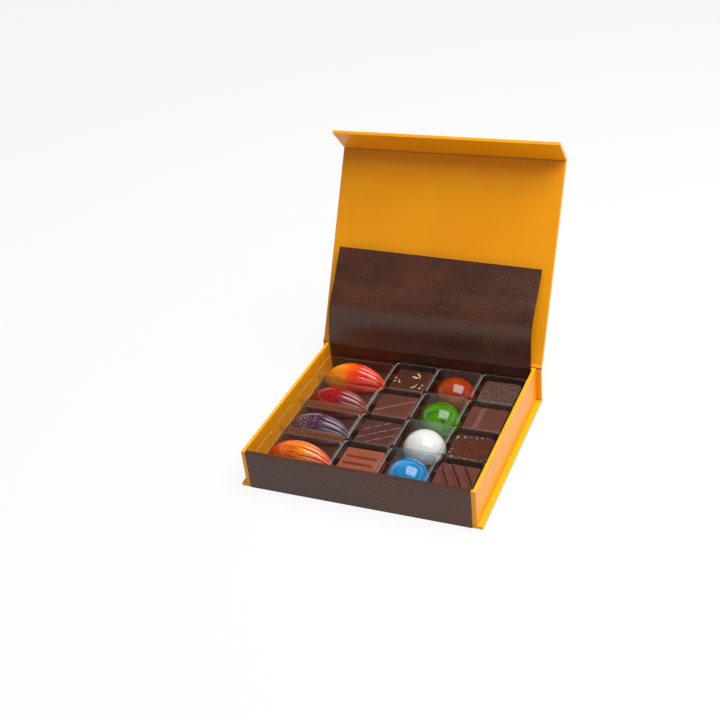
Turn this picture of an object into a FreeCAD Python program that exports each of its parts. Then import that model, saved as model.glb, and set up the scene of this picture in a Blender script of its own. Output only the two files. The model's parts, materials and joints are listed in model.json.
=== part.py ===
import FreeCAD, Part
import Sketcher
import math
import os
import re

# Book-style gift box for chocolates, shown open, in millimetres.
# Origin: middle of the base's underside. +X to the right, +Y to the spine, +Z up.
# The lid leans back, the flap is half folded, the liner's back leaf stands against the lid.

os.makedirs("parts", exist_ok=True)
doc = FreeCAD.newDocument("chocolate_box")

# Driving dimensions
SIZES = [
    ("tray_width", 165.0, "tray, outside, left to right"),
    ("tray_depth", 146.4, "tray, outside, front to back"),
    ("tray_height", 27.2, "tray, from its underside to its rim"),
    ("wall_board", 1.9, "greyboard of the tray"),
    ("case_board", 2.2, "greyboard of the base, spine, lid and flap"),
    ("wrap_paper", 0.2, "yellow covering paper"),
    ("cover_overhang", 3.8, "cover past the tray on each side"),
    ("turn_in", 13.0, "covering paper folded over a board's edge"),
    ("stay_leg", 12.0, "corner stay along each wall"),
    ("stay_paper", 0.1, "paper of a corner stay"),
    ("pad_thickness", 4.2, "pad that raises the tray's floor"),
    ("pad_clearance", 0.3, "pad to the walls and the liner"),
    ("spine_drop", 1.2, "spine's top edge under the rim"),
    ("lid_pivot_back", 0.75, "lid's hinge line behind the tray"),
    ("lid_seat_gap", 0.9, "shut lid above the rim"),
    ("lid_hinge_gap", 2.2, "lid's back edge from its hinge line"),
    ("lid_reach", 149.0, "lid's hinge line to the flap's hinge line"),
    ("lid_open_angle", 120.4, "lid from shut, in degrees"),
    ("hinge_arc_clearance", 0.1, "hinge paper to the boards' edges"),
    ("hinge_arc_lead", 14.0, "hinge paper's end before the lid's line, in degrees"),
    ("flap_hinge_gap", 0.3, "boards' edges from the flap's hinge line"),
    ("flap_length", 25.8, "flap's hinge line to its free edge"),
    ("flap_fold_angle", 74.4, "flap from in line with the lid, in degrees"),
    ("magnet_diameter", 10.0, "magnets and the discs that they pull to"),
    ("magnet_thickness", 1.5, "magnets and discs"),
    ("magnet_spacing", 90.0, "between the two magnets"),
    ("magnet_drop", 13.7, "magnets below the flap's hinge line"),
    ("recess_clearance", 0.1, "round a magnet in its board"),
    ("liner_paper", 0.25, "brown liner paper"),
    ("liner_side_gap", 0.9, "liner to the tray's side walls"),
    ("front_leaf_gap", 0.15, "front leaf to the front wall"),
    ("front_leaf_drop", 0.3, "front leaf's edge above the table"),
    ("leaf_pivot_lift", 0.3, "back leaf's hinge line above the rim"),
    ("leaf_root_gap", 0.3, "leaf panels from their hinge lines"),
    ("lower_leaf_length", 26.0, "back leaf, hinge line to fold"),
    ("lower_leaf_lean", 13.0, "back leaf's lower panel from upright, in degrees"),
    ("upper_leaf_length", 49.0, "back leaf, fold to free edge"),
    ("upper_leaf_lean", 39.5, "back leaf's upper panel from upright, in degrees"),
    ("insert_sheet", 0.4, "clear sheet of the insert"),
    ("insert_side_gap", 0.5, "insert to the walls and the liner"),
    ("pocket_margin_side", 2.0, "outer pockets to the tray's side walls"),
    ("pocket_margin_end", 3.5, "outer pockets to the tray's front and back walls"),
    ("divider_width", 2.2, "top of the wall between two pockets"),
    ("pocket_depth", 14.0, "pocket's floor below the dividers' tops"),
    ("pocket_draft", 0.25, "pocket's floor drawn in on each side"),
    ("lip_rise", 3.6, "insert's outer lip above the dividers"),
    ("square_gap", 2.05, "square chocolate to its pocket's rim"),
    ("square_height", 10.8, "square chocolates"),
    ("square_edge", 1.4, "rounding of a square's edges"),
    ("enrobed_corner", 4.0, "rounding of the soft-cornered square"),
    ("line_width", 1.1, "raised lines and grooves on the squares"),
    ("line_rise", 0.6, "raised lines above a square's top"),
    ("groove_depth", 0.8, "grooves in a square's top"),
    ("groove_gap", 7.5, "between grooves"),
    ("stitch_pitch", 2.9, "between the slanted ridges of the stitched square"),
    ("dome_gap", 0.55, "round chocolate to its pocket's rim"),
    ("dome_skirt", 0.9, "upright edge under a dome"),
    ("pod_end_gap", 1.6, "pod's ends to its pocket's rim"),
    ("pod_side_gap", 2.45, "pod's sides to its pocket's rim"),
    ("pod_height", 16.3, "cocoa pods"),
    ("pod_tip", 1.6, "half width of a pod's blunt ends"),
    ("pod_rib_depth", 0.7, "valleys between a pod's ribs"),
    ("pod_offset", 1.0, "pods left of their pockets' middle"),
]
sheet = doc.addObject("Spreadsheet::Sheet", "sizes")
for row, (alias, value, note) in enumerate(SIZES, start=1):
    sheet.set(f"A{row}", note)
    sheet.set(f"B{row}", str(value))
    sheet.setAlias(f"B{row}", alias)
doc.recompute()

# Places worked out from the driving dimensions
DERIVED = {
    "case_thick": "case_board + 2 * wrap_paper",
    "cover_half_width": "tray_width / 2 + cover_overhang",
    "half_width": "tray_width / 2",
    "half_depth": "tray_depth / 2",
    "wall_thick": "wall_board + 2 * wrap_paper",
    "inner_half_width": "half_width - wall_thick",
    "inner_half_depth": "half_depth - wall_thick",
    "rim_z": "case_thick + tray_height",
    "floor_top_z": "case_thick + wall_board",
    "pad_top_z": "floor_top_z + pad_thickness",
    "liner_top_z": "pad_top_z + liner_paper",
    "liner_half_width": "inner_half_width - liner_side_gap",
    "spine_top_z": "rim_z - spine_drop",
    "lid_pivot_y": "half_depth + lid_pivot_back",
    "hinge_arc_radius": "lid_hinge_gap - hinge_arc_clearance",
    "hinge_arc_start": "acos(spine_drop / hinge_arc_radius) / (1 deg)",
    "hinge_arc_end": "270 - lid_open_angle - hinge_arc_lead",
    "flap_pivot_y": "lid_pivot_y - lid_reach * cos(lid_open_angle) + lid_seat_gap * sin(lid_open_angle)",
    "flap_pivot_z": "rim_z + lid_reach * sin(lid_open_angle) + lid_seat_gap * cos(lid_open_angle)",
    "disc_z": "rim_z + lid_seat_gap - magnet_drop",
    "leaf_pivot_y": "inner_half_depth - liner_paper / 2",
    "leaf_pivot_z": "rim_z + leaf_pivot_lift",
    "leaf_fold_y": "leaf_pivot_y + lower_leaf_length * sin(lower_leaf_lean)",
    "leaf_fold_z": "leaf_pivot_z + lower_leaf_length * cos(lower_leaf_lean)",
    "insert_half_width": "inner_half_width - insert_side_gap",
    "insert_half_depth": "inner_half_depth - liner_paper - insert_side_gap",
    "pocket_floor_z": "liner_top_z + insert_sheet",
    "divider_z": "pocket_floor_z + pocket_depth",
    "pocket_field_width": "2 * (inner_half_width - pocket_margin_side)",
    "cell_pitch": "(inner_half_depth - pocket_margin_end) / 2",
    "square_pocket": "cell_pitch - divider_width",
    "pod_pocket": "pocket_field_width - 3 * cell_pitch - divider_width",
    "pod_column_x": "-(3 * cell_pitch) / 2",
    "square_side": "square_pocket - 2 * square_gap",
    "dome_diameter": "square_pocket - 2 * dome_gap",
    "pod_length": "pod_pocket - 2 * pod_end_gap",
    "pod_width": "square_pocket - 2 * pod_side_gap",
}


def formula(text):
    """Writes a formula of size names as one that reads the sheet's cells."""
    names = {alias for alias, value, note in SIZES}

    def cell(match):
        word = match.group(0)
        if word in DERIVED:
            return f"({formula(DERIVED[word])})"
        return f"sizes.{word}" if word in names else word

    return re.sub(r"[a-z_][a-z_0-9]*", cell, text)


def number(text):
    """The value of a formula of size names, in millimetres or degrees."""
    value = sheet.evalExpression(formula(text))
    return float(getattr(value, "Value", value))


nodes = []


def keep(piece, label):
    """Names a finished sub-part and lists it for writing."""
    piece.Label = label
    nodes.append(piece)
    return piece


def bind(piece, **properties):
    """Binds properties of a document object to formulas."""
    for name, text in properties.items():
        piece.setExpression(name.replace("__", "."), formula(text))


def place(piece, x="0", y="0", z="0"):
    """Moves a piece to a point given by formulas."""
    bind(piece, Placement__Base__x=x, Placement__Base__y=y, Placement__Base__z=z)
    return piece


def swing(piece, angle, x="0", y="0", z="0"):
    """Turns a piece about a left-right line, its top going back, then moves it to a point."""
    start = FreeCAD.Rotation(FreeCAD.Vector(-1, 0, 0), number(angle))
    piece.Placement = FreeCAD.Placement(FreeCAD.Vector(), start)
    bind(piece, Placement__Rotation__Angle=angle)
    return place(piece, x, y, z)


def block(name, x, y, z):
    """A box between pairs of formulas, low and high, on each axis."""
    piece = doc.addObject("Part::Box", name)
    low = [pair[0] for pair in (x, y, z)]
    span = [f"({pair[1]}) - ({pair[0]})" for pair in (x, y, z)]
    bind(piece, Length=span[0], Width=span[1], Height=span[2])
    return place(piece, *low)


def slab(name, half_width, y, z):
    """A box that is centred from left to right."""
    return block(name, (f"-({half_width})", half_width), y, z)


def fuse(name, pieces):
    """Joins pieces of one material into one solid."""
    piece = doc.addObject("Part::MultiFuse", name)
    piece.Shapes = pieces
    piece.Refine = True
    return piece


def group(name, pieces):
    """Keeps separate solids together in one sub-part."""
    piece = doc.addObject("Part::Compound", name)
    piece.Links = pieces
    return piece


def cut(name, base, tools):
    """Takes tools away from a base, one after another."""
    for count, tool in enumerate(tools):
        piece = doc.addObject("Part::Cut", f"{name}_{count}")
        piece.Base = base
        piece.Tool = tool
        base = piece
    return base


def disc(name, radius, length, x, y, z):
    """A round disc whose axis runs front to back, from y towards the spine."""
    piece = doc.addObject("Part::Cylinder", name)
    bind(piece, Radius=radius, Height=length)
    piece.Placement.Rotation = FreeCAD.Rotation(FreeCAD.Vector(1, 0, 0), -90)
    return place(piece, x, y, z)


def paper_arc(name, outer, sweep):
    """A strip of doubled paper bent round a left-right line, from underneath towards the back."""
    skins = []
    for part, radius in (("out", outer), ("in", f"{outer} - 2 * wrap_paper")):
        piece = doc.addObject("Part::Cylinder", f"{name}_{part}")
        bind(piece, Radius=radius, Height="2 * cover_half_width", Angle=sweep)
        piece.Placement.Rotation = FreeCAD.Rotation(FreeCAD.Vector(0, 1, 0), 90)
        skins.append(place(piece, x="-cover_half_width"))
    return cut(name, skins[0], skins[1:])


# Base of the cover: greyboard in yellow paper, folded over three edges
BASE_Y = ("-half_depth", "half_depth")
base_board = slab(
    "base_board_solid",
    "cover_half_width - wrap_paper",
    ("-half_depth + wrap_paper", BASE_Y[1]),
    ("wrap_paper", "wrap_paper + case_board"),
)
keep(base_board, "base_board")
base_skin = slab("base_skin", "cover_half_width", BASE_Y, ("0", "case_thick"))
base_window = slab(
    "base_window",
    "cover_half_width - turn_in",
    ("-half_depth + turn_in", BASE_Y[1]),
    ("wrap_paper + case_board", "case_thick"),
)
keep(cut("base_wrap_cut", base_skin, [base_board, base_window]), "base_wrap")

# Spine: an upright board glued to the tray's back wall, paper folded over its two ends
SPINE_Y = ("half_depth", "half_depth + case_thick")
SPINE_Z = ("case_thick", "spine_top_z")
spine_board = slab(
    "spine_board_solid",
    "cover_half_width - wrap_paper",
    ("half_depth + wrap_paper", "half_depth + wrap_paper + case_board"),
    SPINE_Z,
)
keep(spine_board, "spine_board")
spine_skin = slab("spine_skin", "cover_half_width", SPINE_Y, SPINE_Z)
spine_window = slab(
    "spine_window",
    "cover_half_width - turn_in",
    ("half_depth", "half_depth + wrap_paper"),
    SPINE_Z,
)
keep(cut("spine_wrap_cut", spine_skin, [spine_board, spine_window]), "spine_wrap")

# Fold of the covering paper from the base round to the spine
spine_fold = paper_arc("spine_fold_arc", "case_thick", "90")
keep(place(spine_fold, y="half_depth", z="case_thick"), "spine_fold")

# Tray boards: a floor with four walls standing on it
BOARD_HALF_WIDTH = "half_width - wrap_paper"
BOARD_FACE_Y = "half_depth - wrap_paper"
WALL_Z = ("floor_top_z", "rim_z - wrap_paper")
floor_board = slab(
    "floor_board_solid",
    BOARD_HALF_WIDTH,
    (f"-({BOARD_FACE_Y})", BOARD_FACE_Y),
    ("case_thick", "floor_top_z"),
)
keep(floor_board, "tray_floor_board")
front_plain = slab(
    "front_board_plain",
    BOARD_HALF_WIDTH,
    (f"-({BOARD_FACE_Y})", f"-({BOARD_FACE_Y}) + wall_board"),
    WALL_Z,
)
MAGNET_SIDES = {"left": "-magnet_spacing / 2", "right": "magnet_spacing / 2"}
disc_recesses = [
    disc(
        f"disc_recess_{side}",
        "magnet_diameter / 2 + recess_clearance",
        "magnet_thickness",
        x,
        f"-({BOARD_FACE_Y})",
        "disc_z",
    )
    for side, x in MAGNET_SIDES.items()
]
front_board = cut("front_board_cut", front_plain, disc_recesses)
keep(front_board, "tray_front_board")
back_board = slab(
    "back_board_solid",
    BOARD_HALF_WIDTH,
    (f"{BOARD_FACE_Y} - wall_board", BOARD_FACE_Y),
    WALL_Z,
)
keep(back_board, "tray_back_board")
side_boards = []
for side, low, high in (
    ("left", f"-({BOARD_HALF_WIDTH})", f"-({BOARD_HALF_WIDTH}) + wall_board"),
    ("right", f"{BOARD_HALF_WIDTH} - wall_board", BOARD_HALF_WIDTH),
):
    board = block(
        f"{side}_board_solid",
        (low, high),
        (f"-({BOARD_FACE_Y}) + wall_board", f"{BOARD_FACE_Y} - wall_board"),
        WALL_Z,
    )
    side_boards.append(keep(board, f"tray_{side}_board"))

# Steel discs let into the front wall, which the flap's magnets pull to
wall_discs = [
    disc(
        f"wall_disc_{side}",
        "magnet_diameter / 2",
        "magnet_thickness",
        x,
        f"-({BOARD_FACE_Y})",
        "disc_z",
    )
    for side, x in MAGNET_SIDES.items()
]
keep(group("wall_discs_group", wall_discs), "wall_discs")

# Corner stays: paper angles glued round the four upright corners
stays = []
for x_sign in (-1, 1):
    for y_sign in (-1, 1):
        corner = f"stay_{len(stays)}"
        x_out = f"{BOARD_HALF_WIDTH} + stay_paper"
        y_out = f"{BOARD_FACE_Y} + stay_paper"
        legs = []
        for leg, x_in, y_in in (
            ("along", f"{x_out} - stay_leg", BOARD_FACE_Y),
            ("across", BOARD_HALF_WIDTH, f"{y_out} - stay_leg"),
        ):
            x_pair = (x_in, x_out) if x_sign > 0 else (f"-({x_out})", f"-({x_in})")
            y_pair = (y_in, y_out) if y_sign > 0 else (f"-({y_out})", f"-({y_in})")
            legs.append(block(f"{corner}_{leg}", x_pair, y_pair, WALL_Z))
        stays.append(fuse(corner, legs))
keep(group("stays_group", stays), "corner_stays")

# Tray paper: outside, over the rim and down the inside to the floor
tray_skin = slab(
    "tray_skin", "half_width", ("-half_depth", "half_depth"), ("case_thick", "rim_z")
)
tray_room = slab(
    "tray_room",
    "inner_half_width",
    ("-inner_half_depth", "inner_half_depth"),
    ("case_thick", "rim_z"),
)
wrapped = [tray_room, floor_board, front_plain, back_board] + side_boards + stays
keep(cut("tray_wrap_cut", tray_skin, wrapped), "tray_wrap")

# Floor pad under the liner
PAD_Y = "inner_half_depth - pad_clearance"
floor_pad = slab(
    "floor_pad_solid",
    "inner_half_width - pad_clearance",
    (f"-({PAD_Y})", PAD_Y),
    ("floor_top_z", "pad_top_z"),
)
keep(floor_pad, "floor_pad")

# Liner: one brown sheet over the front rim, down, along the floor and up the back wall
liner_runs = [
    slab(f"liner_{name}", "liner_half_width", y, z)
    for name, y, z in (
        (
            "rim",
            ("-half_depth - front_leaf_gap", "-inner_half_depth + liner_paper"),
            ("rim_z", "rim_z + liner_paper"),
        ),
        (
            "front",
            ("-inner_half_depth", "-inner_half_depth + liner_paper"),
            ("pad_top_z", "rim_z + liner_paper"),
        ),
        ("floor", ("-inner_half_depth", "inner_half_depth"), ("pad_top_z", "liner_top_z")),
        (
            "back",
            ("inner_half_depth - liner_paper", "inner_half_depth"),
            ("pad_top_z", "rim_z"),
        ),
    )
]
keep(fuse("liner_fuse", liner_runs), "liner_sheet")

# Front leaf of the liner, hanging outside the front wall
front_leaf = slab(
    "front_leaf_solid",
    "liner_half_width",
    ("-half_depth - front_leaf_gap - liner_paper", "-half_depth - front_leaf_gap"),
    ("front_leaf_drop", "rim_z + liner_paper"),
)
keep(front_leaf, "front_leaf")

# Back leaf of the liner: a lower and an upper panel, standing up against the lid
for panel, length, lean, y, z in (
    ("lower", "lower_leaf_length - leaf_root_gap", "lower_leaf_lean", "leaf_pivot_y", "leaf_pivot_z"),
    ("upper", "upper_leaf_length", "upper_leaf_lean", "leaf_fold_y", "leaf_fold_z"),
):
    flat = slab(
        f"{panel}_leaf_flat",
        "liner_half_width",
        ("-liner_paper / 2", "liner_paper / 2"),
        ("leaf_root_gap", length),
    )
    leaf = group(f"{panel}_leaf_turned", [flat])
    keep(swing(leaf, lean, y=y, z=z), f"back_leaf_{panel}")

# Lid, made shut about its hinge line and then swung open
LID_Y = ("-lid_reach + flap_hinge_gap", "-lid_hinge_gap")
LID_PLACE = ("lid_open_angle", "0", "lid_pivot_y", "rim_z")


def lid_slab(name, half_width, low, high):
    """A layer of the shut lid, between two heights above its inner face."""
    return slab(name, half_width, LID_Y, (f"lid_seat_gap + {low}", f"lid_seat_gap + {high}"))


lid_layer = lid_slab(
    "lid_board_layer", "cover_half_width - wrap_paper", "wrap_paper", "wrap_paper + case_board"
)
lid_skin = lid_slab("lid_skin", "cover_half_width", "0", "case_thick")
lid_window = lid_slab("lid_window", "cover_half_width - turn_in", "0", "wrap_paper")
lid_pieces = {
    "lid_board": group("lid_board_turned", [lid_layer]),
    "lid_wrap": cut("lid_wrap_cut", lid_skin, [lid_layer, lid_window]),
    "lid_lining": group("lid_lining_turned", [lid_window]),
}
for label, piece in lid_pieces.items():
    keep(swing(piece, *LID_PLACE), label)

# Paper hinge between the spine's top and the lid's back edge
lid_hinge = paper_arc("lid_hinge_arc", "hinge_arc_radius", "hinge_arc_end - hinge_arc_start")
keep(swing(lid_hinge, "-hinge_arc_start", y="lid_pivot_y", z="rim_z"), "lid_hinge_paper")

# Flap, made hanging shut about its hinge line and then swung with the lid
FLAP_Z = ("-flap_length", "-flap_hinge_gap")
FLAP_PLACE = ("lid_open_angle + 90 - flap_fold_angle", "0", "flap_pivot_y", "flap_pivot_z")
flap_layer = slab(
    "flap_board_layer",
    "cover_half_width - wrap_paper",
    ("-wrap_paper - case_board", "-wrap_paper"),
    ("-flap_length + wrap_paper", FLAP_Z[1]),
)
flap_skin = slab("flap_skin", "cover_half_width", ("-case_thick", "0"), FLAP_Z)
flap_window = slab(
    "flap_window",
    "cover_half_width - turn_in",
    ("-wrap_paper", "0"),
    ("-flap_length + turn_in", FLAP_Z[1]),
)
MAGNET_Y = "-wrap_paper - magnet_thickness"
magnets = []
magnet_recesses = []
for side, x in MAGNET_SIDES.items():
    size = ("magnet_thickness", x, MAGNET_Y, "-magnet_drop")
    magnets.append(disc(f"magnet_{side}", "magnet_diameter / 2", *size))
    recess_radius = "magnet_diameter / 2 + recess_clearance"
    magnet_recesses.append(disc(f"magnet_recess_{side}", recess_radius, *size))
flap_pieces = {
    "flap_board": cut("flap_board_cut", flap_layer, magnet_recesses),
    "flap_wrap": cut("flap_wrap_cut", flap_skin, [flap_layer, flap_window]),
    "flap_lining": group("flap_lining_turned", [flap_window]),
    "flap_magnets": group("flap_magnets_group", magnets),
}
for label, piece in flap_pieces.items():
    keep(swing(piece, *FLAP_PLACE), label)

# Paper hinge round the outside of the fold between lid and flap
flap_hinge = paper_arc("flap_hinge_arc", "case_thick", "flap_fold_angle")
flap_hinge = swing(flap_hinge, "lid_open_angle - 180", y="flap_pivot_y", z="flap_pivot_z")
keep(flap_hinge, "flap_hinge_paper")


# Pockets: one wide column for the pods on the left, three square columns beside it, four rows
def pocket_place(column, row):
    """Middle of a pocket, with columns counted from the left and rows from the back."""
    y = f"(1.5 - {row}) * cell_pitch"
    if column == 0:
        return "pod_column_x", y
    return f"pocket_field_width / 2 - {3.5 - column} * cell_pitch", y


def cup(name, column, row, grow, floor, depth):
    """A pocket's tapering room, or with grow the outside of its walls, up from the floor's height."""
    x, y = pocket_place(column, row)
    piece = doc.addObject("Part::Wedge", name)
    across = "pod_pocket / 2" if column == 0 else "square_pocket / 2"
    along = "square_pocket / 2"
    for half, low, high in ((across, "X", "X2"), (along, "Z", "Z2")):
        for axis, text in (
            (low, f"{half} + {grow} - pocket_draft"),
            (high, f"{half} + {grow}"),
        ):
            bind(piece, **{f"{axis}min": f"-({text})", f"{axis}max": text})
    bind(piece, Ymin="0", Ymax=depth)
    piece.Placement.Rotation = FreeCAD.Rotation(FreeCAD.Vector(1, 0, 0), 90)
    return place(piece, x, y, floor)


CELLS = [(column, row) for row in range(4) for column in range(4)]
insert_plate = slab(
    "insert_plate",
    "insert_half_width",
    ("-insert_half_depth", "insert_half_depth"),
    ("divider_z - insert_sheet", "divider_z"),
)
lip_block = slab(
    "lip_block",
    "insert_half_width",
    ("-insert_half_depth", "insert_half_depth"),
    ("divider_z - insert_sheet", "divider_z + lip_rise"),
)
lip_room = slab(
    "lip_room",
    "insert_half_width - insert_sheet",
    ("-insert_half_depth + insert_sheet", "insert_half_depth - insert_sheet"),
    ("divider_z - insert_sheet", "divider_z + lip_rise"),
)
cup_walls = [
    cup(f"cup_wall_{c}_{r}", c, r, "insert_sheet", "liner_top_z", "pocket_depth + insert_sheet")
    for c, r in CELLS
]
cup_rooms = [
    cup(f"cup_room_{c}_{r}", c, r, "0", "pocket_floor_z", "pocket_depth") for c, r in CELLS
]
insert_lip = cut("insert_lip", lip_block, [lip_room])
insert_body = fuse("insert_body", [insert_plate, insert_lip] + cup_walls)
insert_rooms = group("insert_rooms", cup_rooms)
keep(cut("insert_cut", insert_body, [insert_rooms]), "clear_insert")


# Cocoa pods: half spindles with lengthwise ribs, pointed at both ends
RIBS = 7
POD_STATIONS = 11
POD_FULLNESS = 0.58


def pod_section(x):
    """Outline of a pod across its length: a flat foot under a ribbed half ellipse."""
    half_length = number("pod_length / 2")
    half_width = number("pod_width / 2")
    fullness = (1 - (x / half_length) ** 2) ** POD_FULLNESS
    reach = max(half_width * fullness, number("pod_tip"))
    rise = reach * number("pod_height") / half_width
    valley = number("pod_rib_depth") / half_width
    points = [FreeCAD.Vector(x, reach, 0)]
    for step in range(1, 2 * RIBS):
        turn = math.pi * step / (2 * RIBS)
        share = 1.0 if step % 2 else 1.0 - valley
        points.append(
            FreeCAD.Vector(x, share * reach * math.cos(turn), share * rise * math.sin(turn))
        )
    points.append(FreeCAD.Vector(x, -reach, 0))
    return Part.makePolygon(points + points[:1])


pod_half = number("pod_length / 2")
pod_turns = [math.pi * step / (POD_STATIONS - 1) for step in range(POD_STATIONS)]
pod_outlines = [pod_section(-pod_half * math.cos(turn)) for turn in pod_turns]
pod_shape = Part.makeLoft(pod_outlines, True, True)
for row, label in enumerate(("pod_amber", "pod_ruby", "pod_plum", "pod_flame")):
    pod = doc.addObject("Part::Feature", f"{label}_solid")
    pod.Shape = pod_shape
    x, y = pocket_place(0, row)
    keep(place(pod, f"{x} - pod_offset", y, "pocket_floor_z"), label)

# Domes: round moulded chocolates with a short upright edge
DOMES = ("dome_copper", "dome_green", "dome_white", "dome_blue")
for row, label in enumerate(DOMES):
    body = doc.addObject("PartDesign::Body", f"{label}_body")
    sketch = body.newObject("Sketcher::SketchObject", f"{label}_outline")
    planes = body.Origin.OriginFeatures
    sketch.AttachmentSupport = [(next(p for p in planes if p.Role == "XZ_Plane"), "")]
    sketch.MapMode = "FlatFace"
    radius = number("dome_diameter / 2")
    skirt = number("dome_skirt")
    middle = FreeCAD.Vector(0, 0, 0)
    foot_edge = FreeCAD.Vector(radius, 0, 0)
    crown_edge = FreeCAD.Vector(radius, skirt, 0)
    crown_middle = FreeCAD.Vector(0, skirt, 0)
    crown_top = FreeCAD.Vector(0, skirt + radius, 0)
    crown = Part.Circle(crown_middle, FreeCAD.Vector(0, 0, 1), radius)
    sketch.addGeometry(Part.LineSegment(middle, foot_edge))
    sketch.addGeometry(Part.LineSegment(foot_edge, crown_edge))
    sketch.addGeometry(Part.ArcOfCircle(crown, 0, math.pi / 2))
    sketch.addGeometry(Part.LineSegment(crown_top, middle))
    # Lines 0 to 3 are the foot, edge, crown and midline; points 1, 2 and 3 are start, end and centre
    for line, following in ((0, 1), (1, 2), (2, 3), (3, 0)):
        sketch.addConstraint(Sketcher.Constraint("Coincident", line, 2, following, 1))
    sketch.addConstraint(Sketcher.Constraint("Coincident", 0, 1, -1, 1))
    sketch.addConstraint(Sketcher.Constraint("Horizontal", 0))
    sketch.addConstraint(Sketcher.Constraint("Vertical", 1))
    sketch.addConstraint(Sketcher.Constraint("Vertical", 3))
    sketch.addConstraint(Sketcher.Constraint("PointOnObject", 2, 3, -2))
    sketch.addConstraint(Sketcher.Constraint("Horizontal", 2, 3, 2, 1))
    across = sketch.addConstraint(Sketcher.Constraint("DistanceX", 0, 1, 0, 2, radius))
    upright = sketch.addConstraint(Sketcher.Constraint("DistanceY", 1, 1, 1, 2, skirt))
    sketch.renameConstraint(across, "dome_radius")
    sketch.renameConstraint(upright, "dome_edge")
    bind(sketch, Constraints__dome_radius="dome_diameter / 2", Constraints__dome_edge="dome_skirt")
    turned = body.newObject("PartDesign::Revolution", f"{label}_turned")
    turned.Profile = sketch
    turned.ReferenceAxis = (sketch, ["V_Axis"])
    turned.Angle = 360
    x, y = pocket_place(2, row)
    keep(place(body, x, y, "pocket_floor_z"), label)


# Squares: moulded blocks with rounded edges, each with its own marking on top
def rounded(name, blank, picked, radius):
    """Rounds the edges of a blank that a test picks out."""
    doc.recompute()
    piece = doc.addObject("Part::Fillet", name)
    piece.Base = blank
    size = number(radius)
    edges = enumerate(blank.Shape.Edges, start=1)
    piece.Edges = [(count, size, size) for count, edge in edges if picked(edge)]
    return piece


def square_block(name, corner):
    """A square with upright corners of a given rounding and a softened top edge."""
    half = "square_side / 2"
    blank = slab(f"{name}_blank", half, (f"-{half}", half), ("0", "square_height"))
    top = number("square_height")

    def is_upright(edge):
        return edge.BoundBox.ZLength > top / 2

    def is_top(edge):
        return edge.BoundBox.ZMin > top / 2

    cornered = rounded(f"{name}_corners", blank, is_upright, corner)
    return rounded(f"{name}_block", cornered, is_top, "square_edge")


def bar(name, angle, x, y, length, low, high):
    """A straight bar over a square's top, about its middle point, turned by an angle."""
    piece = doc.addObject("Part::Box", name)
    bind(piece, Length=length, Width="line_width", Height=f"({high}) - ({low})")
    piece.Placement.Rotation = FreeCAD.Rotation(FreeCAD.Vector(0, 0, 1), angle)
    half_length = f"({length}) / 2"
    half_width = "line_width / 2"
    return place(
        piece,
        f"{x} - {half_length} * cos({angle}) + {half_width} * sin({angle})",
        f"{y} - {half_length} * sin({angle}) - {half_width} * cos({angle})",
        low,
    )


def with_lines(name, square, lines):
    """Adds raised lines to a square, ended where its top edge begins to round."""
    inside = "square_side / 2 - square_edge"
    foot = ("square_height - line_rise", "square_height + line_rise")
    room = slab(f"{name}_room", inside, (f"-({inside})", inside), foot)
    bars = [bar(f"{name}_bar_{n}", *line, *foot) for n, line in enumerate(lines)]
    joined = fuse(f"{name}_bars", bars) if len(bars) > 1 else bars[0]
    ended = doc.addObject("Part::Common", f"{name}_lines")
    ended.Base = joined
    ended.Tool = room
    return fuse(f"{name}_lined", [square, ended])


def with_grooves(name, square, lines):
    """Cuts grooves across a square's top."""
    room = ("square_height - groove_depth", "square_height + groove_depth")
    bars = [bar(f"{name}_bar_{n}", *line, *room) for n, line in enumerate(lines)]
    return cut(f"{name}_grooved", square, bars)


def across(angle, shift):
    """A line right across a square's top, turned by an angle and shifted to its left side."""
    return angle, f"-({shift}) * sin({angle})", f"({shift}) * cos({angle})", "2 * square_side"


THREE = ("-groove_gap", "0", "groove_gap")
TWO = ("-groove_gap / 2", "groove_gap / 2")
STITCHES = 8
STITCH_ANGLE = 35
SQUARES = {
    "square_gold_fleck": (1, 0),
    "square_diagonal_line": (1, 1),
    "square_drizzle": (1, 2),
    "square_two_groove": (1, 3),
    "square_fine_grain": (3, 0),
    "square_stitch": (3, 1),
    "square_wrinkled": (3, 2),
    "square_slant_groove": (3, 3),
}
RAISED = {
    "square_diagonal_line": [across(34, "0")],
    "square_drizzle": [across(angle, shift) for angle in (35, -40) for shift in THREE],
    "square_stitch": [
        (STITCH_ANGLE, "-square_side / 6", f"({n} - {(STITCHES - 1) / 2}) * stitch_pitch", "2 * stitch_pitch")
        for n in range(STITCHES)
    ],
}
GROOVED = {
    "square_two_groove": [across(0, shift) for shift in TWO],
    "square_slant_groove": [across(-60, shift) for shift in THREE],
}
SOFT_CORNERS = ("square_fine_grain", "square_wrinkled")
for label, (column, row) in SQUARES.items():
    corner = "enrobed_corner" if label in SOFT_CORNERS else "square_edge"
    square = square_block(label, corner)
    if label in RAISED:
        square = with_lines(label, square, RAISED[label])
    if label in GROOVED:
        square = with_grooves(label, square, GROOVED[label])
    x, y = pocket_place(column, row)
    keep(place(square, x, y, "pocket_floor_z"), label)

# Every sub-part is checked, then written
doc.recompute()
for piece in doc.Objects:
    if "Invalid" in piece.State or "Error" in piece.State:
        raise RuntimeError(f"{piece.Label} did not recompute: {piece.State}")
for node in nodes:
    if node.Shape.isNull() or not node.Shape.isValid():
        raise RuntimeError(f"{node.Label} has no valid shape")
    node.Shape.exportStep(f"parts/{node.Label}.step")
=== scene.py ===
import json
import math
import random

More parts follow.
